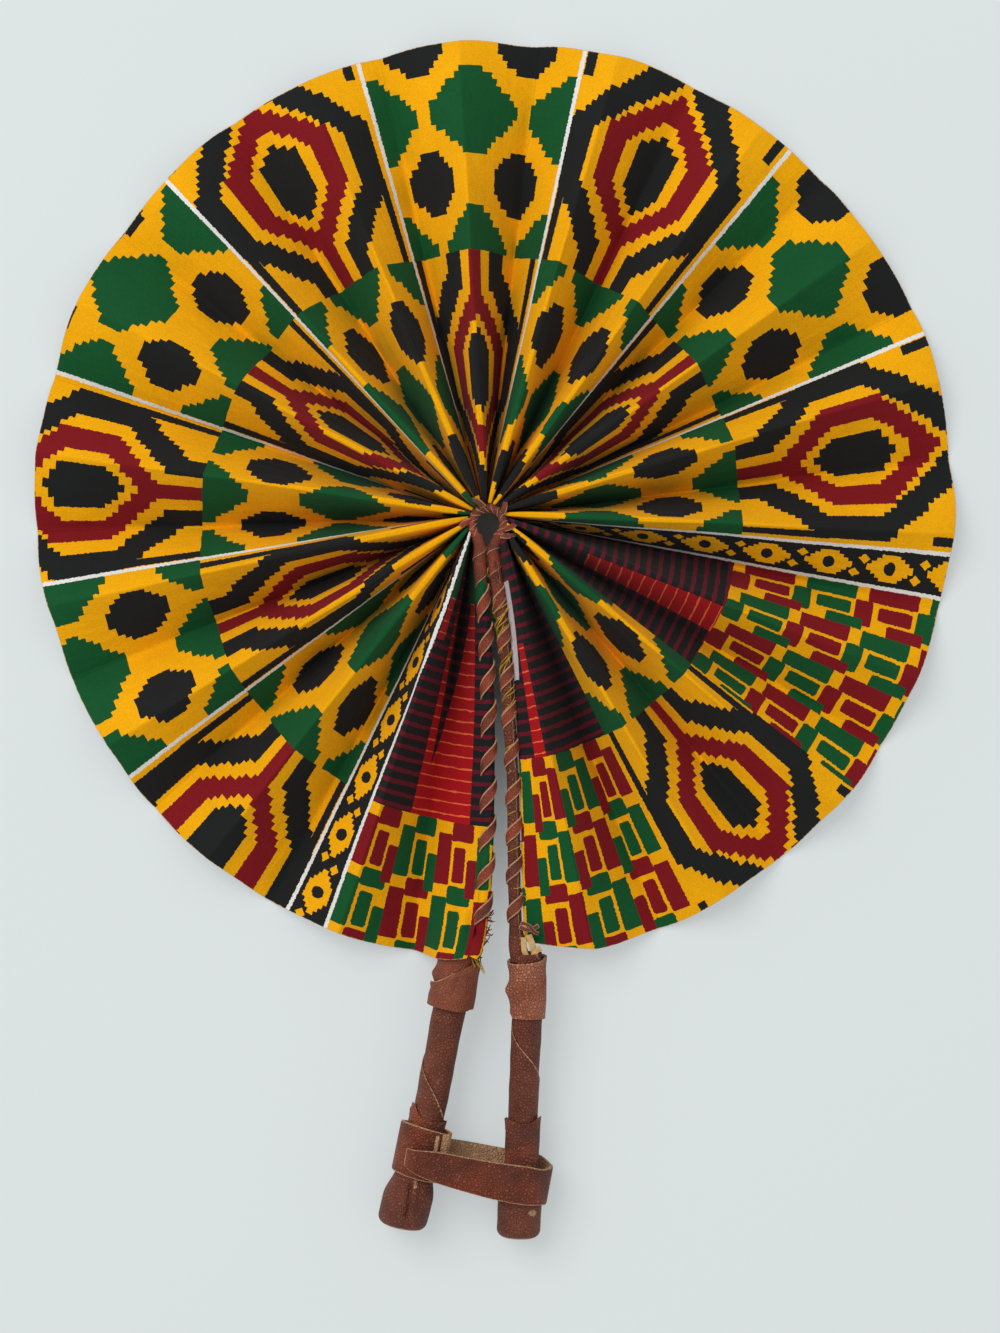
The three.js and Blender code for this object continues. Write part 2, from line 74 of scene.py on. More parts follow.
PALE = "pale_edge"  # point attribute: how much of a pale cut edge shows
PRINT_MAP = "print"  # UV map of the cloth: turn along the strip and distance from the hub
TURN_UNIT = 360.0  # degrees of the strip per unit of the print map
REACH_UNIT = 200.0  # millimetres from the hub per unit of the print map
UP = Vector((0, 0, 1))


def hub_place() -> Vector:
    """Finds the hub axis at table height, in the frame, from the middle of the hub's opening.

    Returns:
        The foot of the axis.
    """
    openings = frame["record"]["physics"]["openings"]
    low, high = (Vector(c) for c in next(o["box_m"] for o in openings if o["name"] == "hub_hole"))
    return Vector(((low.x + high.x) / 2, (low.y + high.y) / 2, 0))


HUB = hub_place()


def to_frame(point: Vector) -> Vector:
    """Moves a point from millimetres about the hub to the frame's metres."""
    return HUB + point * MM


def lerp(first: float, last: float, share: float) -> float:
    """The value a share of the way from first to last."""
    return first + (last - first) * share


def ease(value: float, low: float, high: float) -> float:
    """Rises smoothly from 0 at low to 1 at high."""
    share = min(1.0, max(0.0, (value - low) / (high - low)))
    return share * share * (3 - 2 * share)


def spread(first: float, last: float, count: int) -> list[float]:
    """Values from first to last in equal steps."""
    return [lerp(first, last, i / (count - 1)) for i in range(count)]


def flat(degrees: float, radius: float) -> Vector:
    """A point at table height, by its direction and distance from the hub."""
    return Vector((math.cos(math.radians(degrees)), math.sin(math.radians(degrees)), 0)) * radius


def rough(point: Vector, size: float, seed: float = 0.0) -> float:
    """Smooth noise from -1 to 1 with lumps of about a size, the same in each run."""
    return noise.noise(point / size + Vector((seed, 2 * seed, -seed)))


def last_before(is_before: Callable[[float], bool], high: float) -> float:
    """Halves its way to where a test stops to hold.

    Args:
        is_before: The test, which holds from 0 up to there.
        high: A value past it.

    Returns:
        The last value at which the test holds.
    """
    low = 0.0
    for _ in range(40):
        middle = (low + high) / 2
        low, high = (middle, high) if is_before(middle) else (low, middle)
    return low


# Colours


def linear(red: int, green: int, blue: int) -> tuple[float, float, float, float]:
    """Turns a screen colour of 0 to 255 into the light values that shaders take.

    Args:
        red: The red channel.
        green: The green channel.
        blue: The blue channel.

    Returns:
        The light values and a full alpha.
    """

    def channel(value: int) -> float:
        """One channel's light value."""
        share = value / 255
        return share / 12.92 if share <= 0.04045 else ((share + 0.055) / 1.055) ** 2.4

    return channel(red), channel(green), channel(blue), 1.0


class Dye(Enum):
    """The print's dyes and the leather's and thread's colours, as screen colours."""

    YELLOW = (240, 168, 0)
    GREEN = (16, 80, 40)
    CRIMSON = (124, 18, 25)
    RED = (166, 16, 22)
    WINE = (98, 20, 34)
    BLACK = (28, 29, 29)
    WHITE = (226, 224, 218)
    ORANGE = (228, 102, 58)
    HIDE = (126, 64, 42)
    HIDE_WARM = (152, 66, 32)
    HIDE_DARK = (90, 44, 30)
    HIDE_LIGHT = (164, 98, 72)
    HIDE_PALE = (216, 134, 106)
    HIDE_TAN = (150, 80, 54)
    HIDE_RED = (172, 66, 36)
    SUEDE = (190, 146, 108)
    LINING = (204, 168, 112)
    # the selvedge's white, greyed by painted shade where the last panel lies in shade
    SHADED_SELVEDGE = (196, 184, 188)
    WOOD = (171, 131, 86)
    THREAD = (204, 164, 46)
    FLOOR = (221, 227, 227)

    @property
    def light(self) -> tuple[float, float, float, float]:
        """The colour as light values."""
        return linear(*self.value)


# Shader writing


def step_of(operation: str, meaning: str) -> Callable[..., "Field"]:
    """Makes a method of Field that is one step of arithmetic.

    Args:
        operation: The step.
        meaning: What the method gives, for its docstring.

    Returns:
        The method.
    """

    def method(self: "Field", *others: "Number") -> "Field":
        """One step of arithmetic on a field."""
        return self.graph.math(operation, self, *others)

    method.__doc__ = meaning
    return method


class Field:
    """A number that changes over the surface, written as an expression of shader nodes."""

    __add__ = step_of("ADD", "The sum.")
    __sub__ = step_of("SUBTRACT", "The difference.")
    __mul__ = step_of("MULTIPLY", "The product; of two masks, where both hold.")
    __truediv__ = step_of("DIVIDE", "The quotient.")
    __abs__ = step_of("ABSOLUTE", "The size without its sign.")
    __or__ = most = step_of("MAXIMUM", "The larger of two numbers; of two masks, where either holds.")
    over = step_of("GREATER_THAN", "A mask of where the number is over a level.")
    under = step_of("LESS_THAN", "A mask of where the number is under a level.")
    floor = step_of("FLOOR", "The whole number below.")
    fraction = step_of("FRACT", "What is left over the whole number below.")
    swing = step_of("PINGPONG", "Rises from 0 to a reach and falls back, over and over.")

    def __init__(self, graph: "Graph", socket: bpy.types.NodeSocket) -> None:
        """Takes the graph that it is written in and the socket that gives it."""
        self.graph = graph
        self.socket = socket

    def __rsub__(self, other: float) -> "Field":
        """The difference from a plain number."""
        return self.graph.math("SUBTRACT", other, self)

    def __invert__(self) -> "Field":
        """Where a mask doesn't hold."""
        return 1.0 - self

    def within(self, low: "Number", high: "Number") -> "Field":
        """A mask of where the number is between two levels."""
        return self.over(low) * self.under(high)

    def odd(self) -> "Field":
        """A mask of where a whole number is odd."""
        return self.graph.math("FLOORED_MODULO", self, 2.0).over(0.5)

    def clamped(self) -> "Field":
        """The number held between 0 and 1."""
        return self.graph.math("ADD", self, 0.0, clamp=True)

    def stepped(self, size: float) -> "Field":
        """The number in steps, as a weave draws it."""
        return ((self / size).floor() + 0.5) * size

    def chosen(self, yes: "Number", no: "Number") -> "Field":
        """One number where this mask holds, and another elsewhere."""
        made = self.graph.mix((0, self), (2, no), (3, yes), data_type="FLOAT")
        return Field(self.graph, made.outputs[0])


Number = Field | float
Colour = bpy.types.NodeSocket | tuple[float, float, float, float]


class Graph:
    """Writes the nodes of one material or node group."""

    def __init__(self, tree: bpy.types.NodeTree) -> None:
        """Takes the tree that the nodes go into."""
        self.tree = tree

    def feed(self, socket: bpy.types.NodeSocket, value: object) -> None:
        """Links a field or socket to a socket, or sets a plain value on it.

        Args:
            socket: The socket.
            value: What goes into it.
        """
        source = value.socket if isinstance(value, Field) else value
        if isinstance(source, bpy.types.NodeSocket):
            self.tree.links.new(source, socket)
        else:
            socket.default_value = source

    def node(self, kind: str, settings: dict[str, object] | None = None, **inputs: object) -> bpy.types.Node:
        """Adds a node.

        Args:
            kind: The node's type.
            settings: Properties of the node itself.
            **inputs: What goes into its sockets, by their names with _ for a space.

        Returns:
            The node.
        """
        made = self.tree.nodes.new(kind)
        for name, value in (settings or {}).items():
            setattr(made, name, value)
        for name, value in inputs.items():
            self.feed(made.inputs[name.replace("_", " ")], value)
        return made

    def math(self, operation: str, *values: Number, clamp: bool = False) -> Field:
        """One step of arithmetic.

        Args:
            operation: The step.
            *values: What it works on.
            clamp: Whether the result is held between 0 and 1.

        Returns:
            The result.
        """
        made = self.node("ShaderNodeMath", {"operation": operation, "use_clamp": clamp})
        for socket, value in zip(made.inputs, values):
            self.feed(socket, value)
        return Field(self, made.outputs[0])

    def mix(self, *values: tuple[int, object], **settings: str) -> bpy.types.Node:
        """A mix of two values, which go to the sockets of their kind by number.

        Args:
            *values: Each socket's number and what goes into it.
            **settings: Properties of the node itself.

        Returns:
            The node.
        """
        made = self.node("ShaderNodeMix", settings)
        for index, value in values:
            self.feed(made.inputs[index], value)
        return made

    def paint(self, below: Colour, colour: Colour, mask: Number, blend: str = "MIX") -> bpy.types.NodeSocket:
        """Lays a colour over another one, by a mask."""
        made = self.mix((0, mask), (6, below), (7, colour), data_type="RGBA", blend_type=blend)
        return made.outputs[2]

    def split(self, vector: bpy.types.NodeSocket) -> tuple[Field, Field, Field]:
        """The three parts of a vector.

        Args:
            vector: The vector.

        Returns:
            Its x, y and z.
        """
        made = self.node("ShaderNodeSeparateXYZ", Vector=vector)
        x, y, z = (Field(self, socket) for socket in made.outputs)
        return x, y, z

    def join(self, x: Number, y: Number, z: Number = 0.0) -> bpy.types.NodeSocket:
        """A vector from three numbers."""
        return self.node("ShaderNodeCombineXYZ", X=x, Y=y, Z=z).outputs[0]

    def noise(self, vector: bpy.types.NodeSocket, scale: float, detail: float = 2.0) -> Field:
        """Soft noise from 0 to 1."""
        made = self.node("ShaderNodeTexNoise", Vector=vector, Scale=scale, Detail=detail)
        return Field(self, made.outputs["Fac"])

    def object_place(self) -> bpy.types.NodeSocket:
        """The place on the object, in metres."""
        return self.node("ShaderNodeTexCoord").outputs["Object"]


@dataclass
class GroupPlan:
    """A node group with named inputs and outputs, and the graph that writes it."""

    name: str
    inputs: dict[str, str]
    outputs: dict[str, str]
    graph: Graph = field(init=False)

    def __post_init__(self) -> None:
        """Makes the group's sockets and its two end nodes."""
        tree = bpy.data.node_groups.new(self.name, "ShaderNodeTree")
        for way, sockets in (("INPUT", self.inputs), ("OUTPUT", self.outputs)):
            for name, kind in sockets.items():
                tree.interface.new_socket(name=name, in_out=way, socket_type=f"NodeSocket{kind}")
        self.graph = Graph(tree)
        self.entry = self.graph.node("NodeGroupInput")
        self.exit = self.graph.node("NodeGroupOutput")

    def given(self, name: str) -> bpy.types.NodeSocket:
        """An input of the group."""
        return self.entry.outputs[name]

    def result(self, name: str, value: object) -> None:
        """Sets an output of the group."""
        self.graph.feed(self.exit.inputs[name], value)

    def place(self, graph: Graph, **inputs: object) -> bpy.types.Node:
        """Puts the finished group into a material."""
        return graph.node("ShaderNodeGroup", {"node_tree": self.graph.tree}, **inputs)


# The print


@dataclass(frozen=True)
class Contour:
    """One outline of the eye motif, as shares of a block's width and millimetres along it."""

    dye: Dye
    middle: float
    half_width: float
    half_length: float
    flat_half: float
    stem: float = 0.0


@dataclass(frozen=True)
class Lozenge:
    """A stepped lozenge: how far its row is shifted, and its half sizes to sharp and to blunted corners.

    The first number of a pair is a share of a block's width, the second millimetres along it.
    """

    dye: Dye
    shift: float
    sharp: tuple[float, float]
    blunt: tuple[float, float]


@dataclass(frozen=True)
class KentePrint:
    """The cloth's traditional strip-weave print.

    A place on the strip is its turn from the left hem in degrees and its distance from the hub in
    millimetres.
    """

    strip_from: float = 26.9
    block_turn: float = 27.4
    blocks: int = 9
    border_turn: float = 5.5
    seam: float = 305.6
    second_block: float = 26.0
    second_to: float = 331.6
    line_half: float = 0.26
    line_inner: float = 0.8  # of its width, near the hub
    line_widens: tuple[float, float] = (25.0, 80.0)  # from where, and over how many millimetres
    selvedge_from: float = 346.1
    selvedge_taper: float = 0.1  # degrees per millimetre
    selvedge_reach: tuple[float, float] = (25.0, 64.0)
    middle_reach: float = 119.5  # where a strip's two blocks meet, at the left hem
    middle_fall: float = 0.0723  # per degree round
    step_across: float = 0.022  # of a block's width
    step_along: float = 2.6
    eye_across: float = 0.48
    lozenge_pitch: float = 57.0
    lozenges: tuple[Lozenge, ...] = (
        Lozenge(Dye.GREEN, 0.5, (0.255, 22), (0.215, 18.8)),
        Lozenge(Dye.BLACK, 0.0, (0.178, 16.6), (0.13, 12.6)),
    )
    side_bars: tuple[tuple[float, float], ...] = ((0.014, 0.06), (0.925, 0.968))  # of a block's width
    side_bar_gap: tuple[float, float] = (35.0, 77.0)  # where an eye pushes the side bars off
    brick_turn: float = 6.9
    brick_pitch: float = 25.5
    brick_corner: float = 0.05  # of a brick's cell
    bricks: tuple[tuple[float, tuple[float, float], tuple[float, float]], ...] = (
        (0.0, (0.34, 0.9), (0.0, 0.29)),
        (0.0, (-0.03, 0.35), (0.19, 1.0)),
        (0.0, (0.42, 0.71), (0.38, 0.94)),
        (0.16, (0.76, 1.03), (0.4, 1.0)),
    )  # how far each shape's rows are shifted, and from where to where it goes across and along its cell
    stripe_pitch: float = 4.7
    wine_share: float = 0.36  # of a stripe's pitch
    orange_share: float = 0.12
    first_warm: tuple[float, float, float] = (2.3, 0.6, 0.11)  # its edges, and how the second one slants
    warm_strips: tuple[tuple[float, float, float, float], ...] = (
        (11.6, 13.6, 0, 200),
        (17.4, 20.9, 0, 50),
        (290.2, 296.4, 42, 200),
        (346.9, 350.4, 50, 200),
    )  # from where to where each red strip goes, in degrees and then in millimetres
    sprig_reach: float = 33.0
    sprigs: tuple[tuple[float, float], ...] = ((-90.0, 6.0), (17.0, 21.0))
    flower_pitch: float = 25.0
    flower_step: tuple[float, float] = (0.085, 1.9)  # of the border's width, and in millimetres
    flower_half: tuple[float, float] = (0.33, 9.6)
    flower_slope: float = 21.0  # millimetres along, per width of the border
    heart: tuple[float, float] = (34.0, 5.6)  # how fast the flower's heart closes across, and slowly along
    dot_place: tuple[float, float] = (0.2, 12.4)
    dot_slope: float = 17.0
    dot_skew: float = 1.6
    dot_half: float = 2.2
    contours: tuple[Contour, ...] = (
        Contour(Dye.BLACK, 45.0, 0.485, 60.5, 13, 0.21),
        Contour(Dye.YELLOW, 46, 0.36, 42.5, 10, 0.10),
        Contour(Dye.CRIMSON, 48.5, 0.285, 35, 12, 0.045),
        Contour(Dye.YELLOW, 48.5, 0.18, 23.5, 8.5),
        Contour(Dye.BLACK, 48.5, 0.11, 17.5, 9.5),
    )

    @property
    def low_edge(self) -> float:
        """Where the first border starts."""
        return self.strip_from - self.border_turn

    @property
    def strip_end(self) -> float:
        """Where the last border ends."""
        return self.strip_from + self.blocks * self.block_turn + self.border_turn

    def group(self) -> GroupPlan:
        """Writes the print as a node group that takes the print map and gives its colour.

        Returns:
            The group.
        """
        plan = GroupPlan("kente_print", {"Map": "Vector"}, {"Color": "Color"})
        graph = plan.graph
        turn, reach, _ = graph.split(plan.given("Map"))
        wobble = graph.noise(plan.given("Map"), 190, 1) - 0.5
        turn = turn * TURN_UNIT + wobble * 0.35
        reach = reach * REACH_UNIT + wobble * 1.1
        strip_to = self.strip_from + self.blocks * self.block_turn
        middle = self.middle_reach - (turn - 20) * self.middle_fall
        outside = reach.over(middle)
        away = abs(reach - middle)

        second = turn.within(self.seam, self.second_to)
        first = turn.within(self.strip_from, strip_to)
        place = (turn - self.strip_from) / self.block_turn
        across = second.chosen((turn - self.seam) / self.second_block, place.fraction())
        swapped = place.floor().odd() * first
        eye_shown = abs(outside - swapped)
        ground = Dye.YELLOW.light
        rows = self.lozenge_rows(across, away, ground)
        blocks = graph.paint(rows, self.eye(across, away, ground), eye_shown)
        stripes = self.stripes(turn, reach)
        ends = graph.paint(stripes, self.brick_columns(turn, away, ground), outside)
        colour = graph.paint(ends, blocks, first | second)

        border_at = (turn - self.low_edge) / self.border_turn
        far_at = (turn - strip_to) / self.border_turn
        far = far_at.within(0, 1)
        border = border_at.within(0, 1) | far
        colour = graph.paint(colour, self.border(far.chosen(far_at, border_at), reach), border)
        selvedge = turn.over(reach * self.selvedge_taper + self.selvedge_from)
        selvedge = selvedge * reach.within(*self.selvedge_reach)
        # painted shade: the selvedge strip is painted a greyed white
        colour = graph.paint(colour, Dye.SHADED_SELVEDGE.light, selvedge)
        colour = graph.paint(colour, Dye.WHITE.light, self.white_lines(turn, reach))
        plan.result("Color", colour)
        return plan

    def white_lines(self, turn: Field, reach: Field) -> Field:
        """A mask of the white lines between the strips, which are drawn in towards the hub.

        Args:
            turn: Degrees along the strip.
            reach: Millimetres from the hub.

        Returns:
            The mask.
        """
        start, span = self.line_widens
        half = ((reach - start) / span).clamped() * (1 - self.line_inner) + self.line_inner
        half = half * self.line_half
        inner = (turn - self.strip_from).swing(self.block_turn / 2).under(half)
        lines = inner * turn.within(self.strip_from - 1, self.strip_end - self.border_turn + 1)
        for edge in (self.low_edge, self.strip_end):
            lines = lines | abs(turn - edge).under(half)
        return lines

    def eye(self, across: Field, away: Field, ground: Colour) -> bpy.types.NodeSocket:
        """The eye motif: nested six-sided rings with a stem that runs to the strip's middle.

        Args:
            across: The share across a block.
            away: Millimetres from where the strip's two blocks meet.
            ground: The colour below.

        Returns:
            The colour with the motif on it.
        """
        graph = across.graph
        sideways = abs((across - self.eye_across).stepped(self.step_across))
        along = away.stepped(self.step_along)
        colour = ground
        for ring in self.contours:
            far = abs(along - ring.middle)
            slope = (ring.half_length - far) / (ring.half_length - ring.flat_half)
            width = slope.clamped() * ring.half_width
            width = width.most(along.under(ring.middle) * ring.stem)
            colour = graph.paint(colour, ring.dye.light, sideways.under(width))
        near, far = self.side_bars
        bars = across.within(*near) | across.within(*far)
        clear = away.under(self.side_bar_gap[0]) | away.over(self.side_bar_gap[1])
        return graph.paint(colour, Dye.BLACK.light, bars * clear)

    def lozenge_rows(self, across: Field, away: Field, ground: Colour) -> bpy.types.NodeSocket:
        """Rows of stepped lozenges with blunt corners, green and black by turns.

        Args:
            across: The share across a block.
            away: Millimetres from where the strip's two blocks meet.
            ground: The colour below.

        Returns:
            The colour with the motif on it.
        """
        graph = across.graph
        column = across.stepped(self.step_across) * 2
        row = away.stepped(self.step_along) / self.lozenge_pitch
        colour = ground
        for kind in self.lozenges:
            x = abs((column + kind.shift).fraction() - 0.5) / 2
            y = abs((row + kind.shift).fraction() - 0.5) * self.lozenge_pitch
            inside = (x / kind.sharp[0] + y / kind.sharp[1]).under(1)
            inside = inside * x.under(kind.blunt[0]) * y.under(kind.blunt[1])
            colour = graph.paint(colour, kind.dye.light, inside)
        return colour

    def brick_columns(self, turn: Field, away: Field, ground: Colour) -> bpy.types.NodeSocket:
        """Columns of brick signs, green or crimson: a tall bar, a framed brick, a short bar, a block.

        The columns are counted from the white line or the eye beside them, so both ends of the strip mirror.

        Args:
            turn: Degrees along the strip.
            away: Millimetres from where the strip's two blocks meet.
            ground: The colour below.

        Returns:
            The colour with the motif on it.
        """
        graph = turn.graph
        from_line = turn.under(self.second_to).chosen(turn - self.strip_end, turn - self.second_to)
        from_line = turn.under(self.strip_from).chosen(self.low_edge - turn, from_line)
        column = from_line / self.brick_turn
        x = column.fraction()
        rows = away / self.brick_pitch
        colour = ground
        for shift, wide, tall in self.bricks:
            row = rows - shift
            dyed = graph.paint(Dye.CRIMSON.light, Dye.GREEN.light, (column.floor() + row.floor()).odd())
            colour = graph.paint(colour, dyed, self.rounded(x, row.fraction(), wide, tall) * row.over(0))
        return colour

    def rounded(self, x: Field, y: Field, wide: tuple[float, float], tall: tuple[float, float]) -> Field:
        """A mask of a block with rounded corners, in shares of a brick's cell.

        Args:
            x: The share across the cell.
            y: The share along it.
            wide: From where to where the block goes across.
            tall: From where to where it goes along.

        Returns:
            The mask.
        """
        corner = self.brick_corner
        out_x = (abs(x - sum(wide) / 2) - (wide[1] - wide[0]) / 2 + corner).most(0.0)
        out_y = (abs(y - sum(tall) / 2) - (tall[1] - tall[0]) / 2 + corner).most(0.0)
        return (out_x * out_x + out_y * out_y).under(corner * corner)

    def stripes(self, turn: Field, reach: Field) -> bpy.types.NodeSocket:
        """Fine bars: black and wine at the sides, red and orange between, and a green sprig by the hub.

        Args:
            turn: Degrees along the strip.
            reach: Millimetres from the hub.

        Returns:
            The colour.
        """
        graph = turn.graph
        bar = (reach / self.stripe_pitch).fraction()
        start, stop, slant = self.first_warm
        warm_at = turn.within(start, reach * slant + stop)
        for start, stop, near, far in self.warm_strips:
            warm_at = warm_at | turn.within(start, stop) * reach.within(near, far)
        dark = graph.paint(Dye.BLACK.light, Dye.WINE.light, bar.under(self.wine_share))
        warm = graph.paint(Dye.RED.light, Dye.ORANGE.light, bar.under(self.orange_share))
        left, right = (turn.within(*span) for span in self.sprigs)
        sprig = reach.under(self.sprig_reach) * (left | right)
        return graph.paint(graph.paint(dark, warm, warm_at), Dye.GREEN.light, sprig)

    def border(self, across: Field, reach: Field) -> bpy.types.NodeSocket:
        """A black band with yellow stepped flowers and dots.

        Args:
            across: The share across the border.
            reach: Millimetres from the hub.

        Returns:
            The colour.
        """
        graph = across.graph
        y = ((reach / self.flower_pitch).fraction() - 0.5) * self.flower_pitch
        x = across - 0.5
        step_x, step_y = (abs(place.stepped(size)) for place, size in zip((x, y), self.flower_step))
        wide, long = self.flower_half
        flower = (step_x * self.flower_slope + step_y).under(long) * step_x.under(wide)
        heart = (x * x * self.heart[0] + y * y / self.heart[1]).under(1)
        skew = x.over(0).chosen(1.0, -1.0) * y.over(0).chosen(self.dot_skew, -self.dot_skew)
        dot_x, dot_y = (abs(place) - at for place, at in zip((x, y), self.dot_place))
        dots = (abs(dot_x) * self.dot_slope + abs(dot_y + skew)).under(self.dot_half)
        return graph.paint(Dye.BLACK.light, Dye.YELLOW.light, (flower * ~heart) | dots)


# Finishes


def leather_grain() -> GroupPlan:
    """Writes the leather's surface: pebbled grain, creases and mottled colour.

    Returns:
        The group.
    """
    plan = GroupPlan(
        "leather_grain",
        {"Place": "Vector", "Pebble": "Float"},
        {"Height": "Float", "Mottle": "Float", "Wear And Highlight": "Float", "Crevice Shade": "Float"},
    )
    graph = plan.graph
    place = plan.given("Place")
    warp = graph.node("ShaderNodeTexNoise", Vector=place, Scale=420.0, Detail=1.0).outputs["Color"]
    bent = graph.node("ShaderNodeVectorMath", {"operation": "MULTIPLY_ADD"})
    graph.feed(bent.inputs[0], warp)
    bent.inputs[1].default_value = (0.0009, 0.0009, 0.0009)
    graph.feed(bent.inputs[2], place)
    edges = {"feature": "DISTANCE_TO_EDGE"}
    cells = graph.node("ShaderNodeTexVoronoi", edges, Vector=bent.outputs[0], Scale=plan.given("Pebble"))
    pebble = (Field(graph, cells.outputs["Distance"]) * 3.2).clamped()
    crease = (abs(graph.noise(place, 260, 3) - 0.5) * 4).clamped()
    mottle = graph.noise(place, 75, 4)
    plan.result("Height", pebble * 0.55 + crease * 0.3 + mottle * 0.4)
    plan.result("Mottle", ((mottle - 0.35) * 2.6).clamped())
    # painted shade: a mask of the crevices between the pebbles, which are darkened
    plan.result("Crevice Shade", ~(pebble * 1.5).clamped())
    # pebble tops in patches, which are lightened: partly rubbed wear, partly a painted highlight
    plan.result("Wear And Highlight", (pebble * (graph.noise(place, 150, 3) * 1.1 - 0.1)).clamped())
    return plan


def cut_edge() -> GroupPlan:
    """Writes the frayed mask of a cut edge, from how much of it shows at a point.

    Returns:
        The group.
    """
    plan = GroupPlan("cut_edge", {"Place": "Vector"}, {"Mask": "Float"})
    graph = plan.graph
    shown = Field(graph, graph.node("ShaderNodeAttribute", {"attribute_name": PALE}).outputs["Fac"])
    fray = graph.noise(plan.given("Place"), 900, 2)
    plan.result("Mask", ((shown * 1.5 + fray - 1.0) * 3).clamped())
    return plan


class Finish:
    """A material under construction: its graph, and the shader that it feeds."""

    def __init__(self, name: str, roughness: float, **constants: object) -> None:
        """Starts a material.

        Args:
            name: The material's name.
            roughness: The shader's roughness, unless something is linked to it.
            **constants: Other values of the shader that are the same all over, with _ for a space.
        """
        self.material = bpy.data.materials.new(name)
        self.material.use_nodes = True
        self.graph = Graph(self.material.node_tree)
        self.shader = self.material.node_tree.nodes["Principled BSDF"]
        self.shader.inputs["Roughness"].default_value = roughness
        for socket, value in constants.items():
            self.shader.inputs[socket.replace("_", " ")].default_value = value

    def bump(self, height: object, distance: float) -> None:
        """Raises the surface by a height, in metres for a height of 1."""
        made = self.graph.node("ShaderNodeBump", Strength=1.0, Distance=distance, Height=height)
        self.graph.feed(self.shader.inputs["Normal"], made.outputs["Normal"])

    def colour(self, value: object) -> None:
        """Sets the base colour."""
        self.graph.feed(self.shader.inputs["Base Color"], value)


@dataclass(frozen=True)
class LeatherFinish:
    """A leather: its colours, its grain and how deep the grain is."""

    name: str
    body: Dye
    dark: Dye
    light: Dye
    pebble: float = 760.0
    depth: float = 0.0008
    wear_and_highlight: float = 0.5
    crevice_shade: float = 0.6

    def material(self, grain: GroupPlan, edge: GroupPlan) -> bpy.types.Material:
        """Makes the material.

        Args:
            grain: The leather's grain.
            edge: The mask of cut edges.

        Returns:
            The material.
        """
        finish = Finish(self.name, 0.5, Specular_IOR_Level=0.3)
        graph = finish.graph
        place = graph.object_place()
        surface = grain.place(graph, Place=place, Pebble=self.pebble)
        colour = graph.paint(self.dark.light, self.body.light, Field(graph, surface.outputs["Mottle"]))
        # the pebble tops lighten towards the light colour: partly rubbed wear, partly a painted highlight
        colour = graph.paint(colour, self.light.light, Field(graph, surface.outputs["Wear And Highlight"]) * self.wear_and_highlight)
        # painted shade: the crevices between the pebbles are darkened towards the dark colour
        crevice_shade = Field(graph, surface.outputs["Crevice Shade"]) * self.crevice_shade
        colour = graph.paint(colour, self.dark.light, crevice_shade)
        frayed = edge.place(graph, Place=place).outputs["Mask"]
        finish.colour(graph.paint(colour, Dye.SUEDE.light, frayed))
        shine = Field(graph, surface.outputs["Mottle"]) * -0.14 + 0.54
        graph.feed(finish.shader.inputs["Roughness"], shine)
        finish.bump(surface.outputs["Height"], self.depth)
        return finish.material


def cloth_material(pattern: GroupPlan, edge: GroupPlan) -> bpy.types.Material:
    """Makes the printed cotton: the print, its weave, small creases and a bare cut edge.

    Args:
        pattern: The print.
        edge: The mask of cut edges.

    Returns:
        The material.
    """
    finish = Finish("printed_cotton", 0.85, Specular_IOR_Level=0.12, Sheen_Weight=0.03, Sheen_Roughness=0.5)
    graph = finish.graph
    printed = graph.node("ShaderNodeUVMap", {"uv_map": PRINT_MAP}).outputs["UV"]
    place = graph.object_place()
    colour = pattern.place(graph, Map=printed).outputs["Color"]
    cloudy = graph.noise(place, 60, 3) * 0.22 + 0.89
    fibre = graph.noise(place, 1500, 2) * 0.5 + 0.75
    tone = cloudy * fibre
    colour = graph.paint(colour, graph.join(tone, tone, tone), 1.0, "MULTIPLY")
    frayed = edge.place(graph, Place=place).outputs["Mask"]
    finish.colour(graph.paint(colour, Dye.LINING.light, frayed))
    u, v, _ = graph.split(printed)
    warp = (u * 4200).swing(0.5) + (v * 420).swing(0.5)
    creases = graph.noise(graph.join(u * 240, v * 9), 1.0, 3)
    dents = graph.noise(place, 130, 2)
    finish.bump(warp * 0.06 + creases * 0.8 + dents * 0.5, 0.0007)
    return finish.material


def plain_material(name: str, dye: Dye, shade: Dye, scale: float, roughness: float) -> bpy.types.Material:
    """Makes a fibrous material of two shades, such as thread, suede or bare wood.

    Args:
        name: The material's name.
        dye: The main colour.
        shade: The colour that it is mixed with.
        scale: How fine the fibres are.
        roughness: The shader's roughness.

    Returns:
        The material.
    """
    finish = Finish(name, roughness, Specular_IOR_Level=0.2)
    graph = finish.graph
    fibres = graph.noise(graph.object_place(), scale, 4)
    finish.colour(graph.paint(dye.light, shade.light, ((fibres - 0.4) * 2).clamped()))
    finish.bump(fibres, 0.0003)
    return finish.material


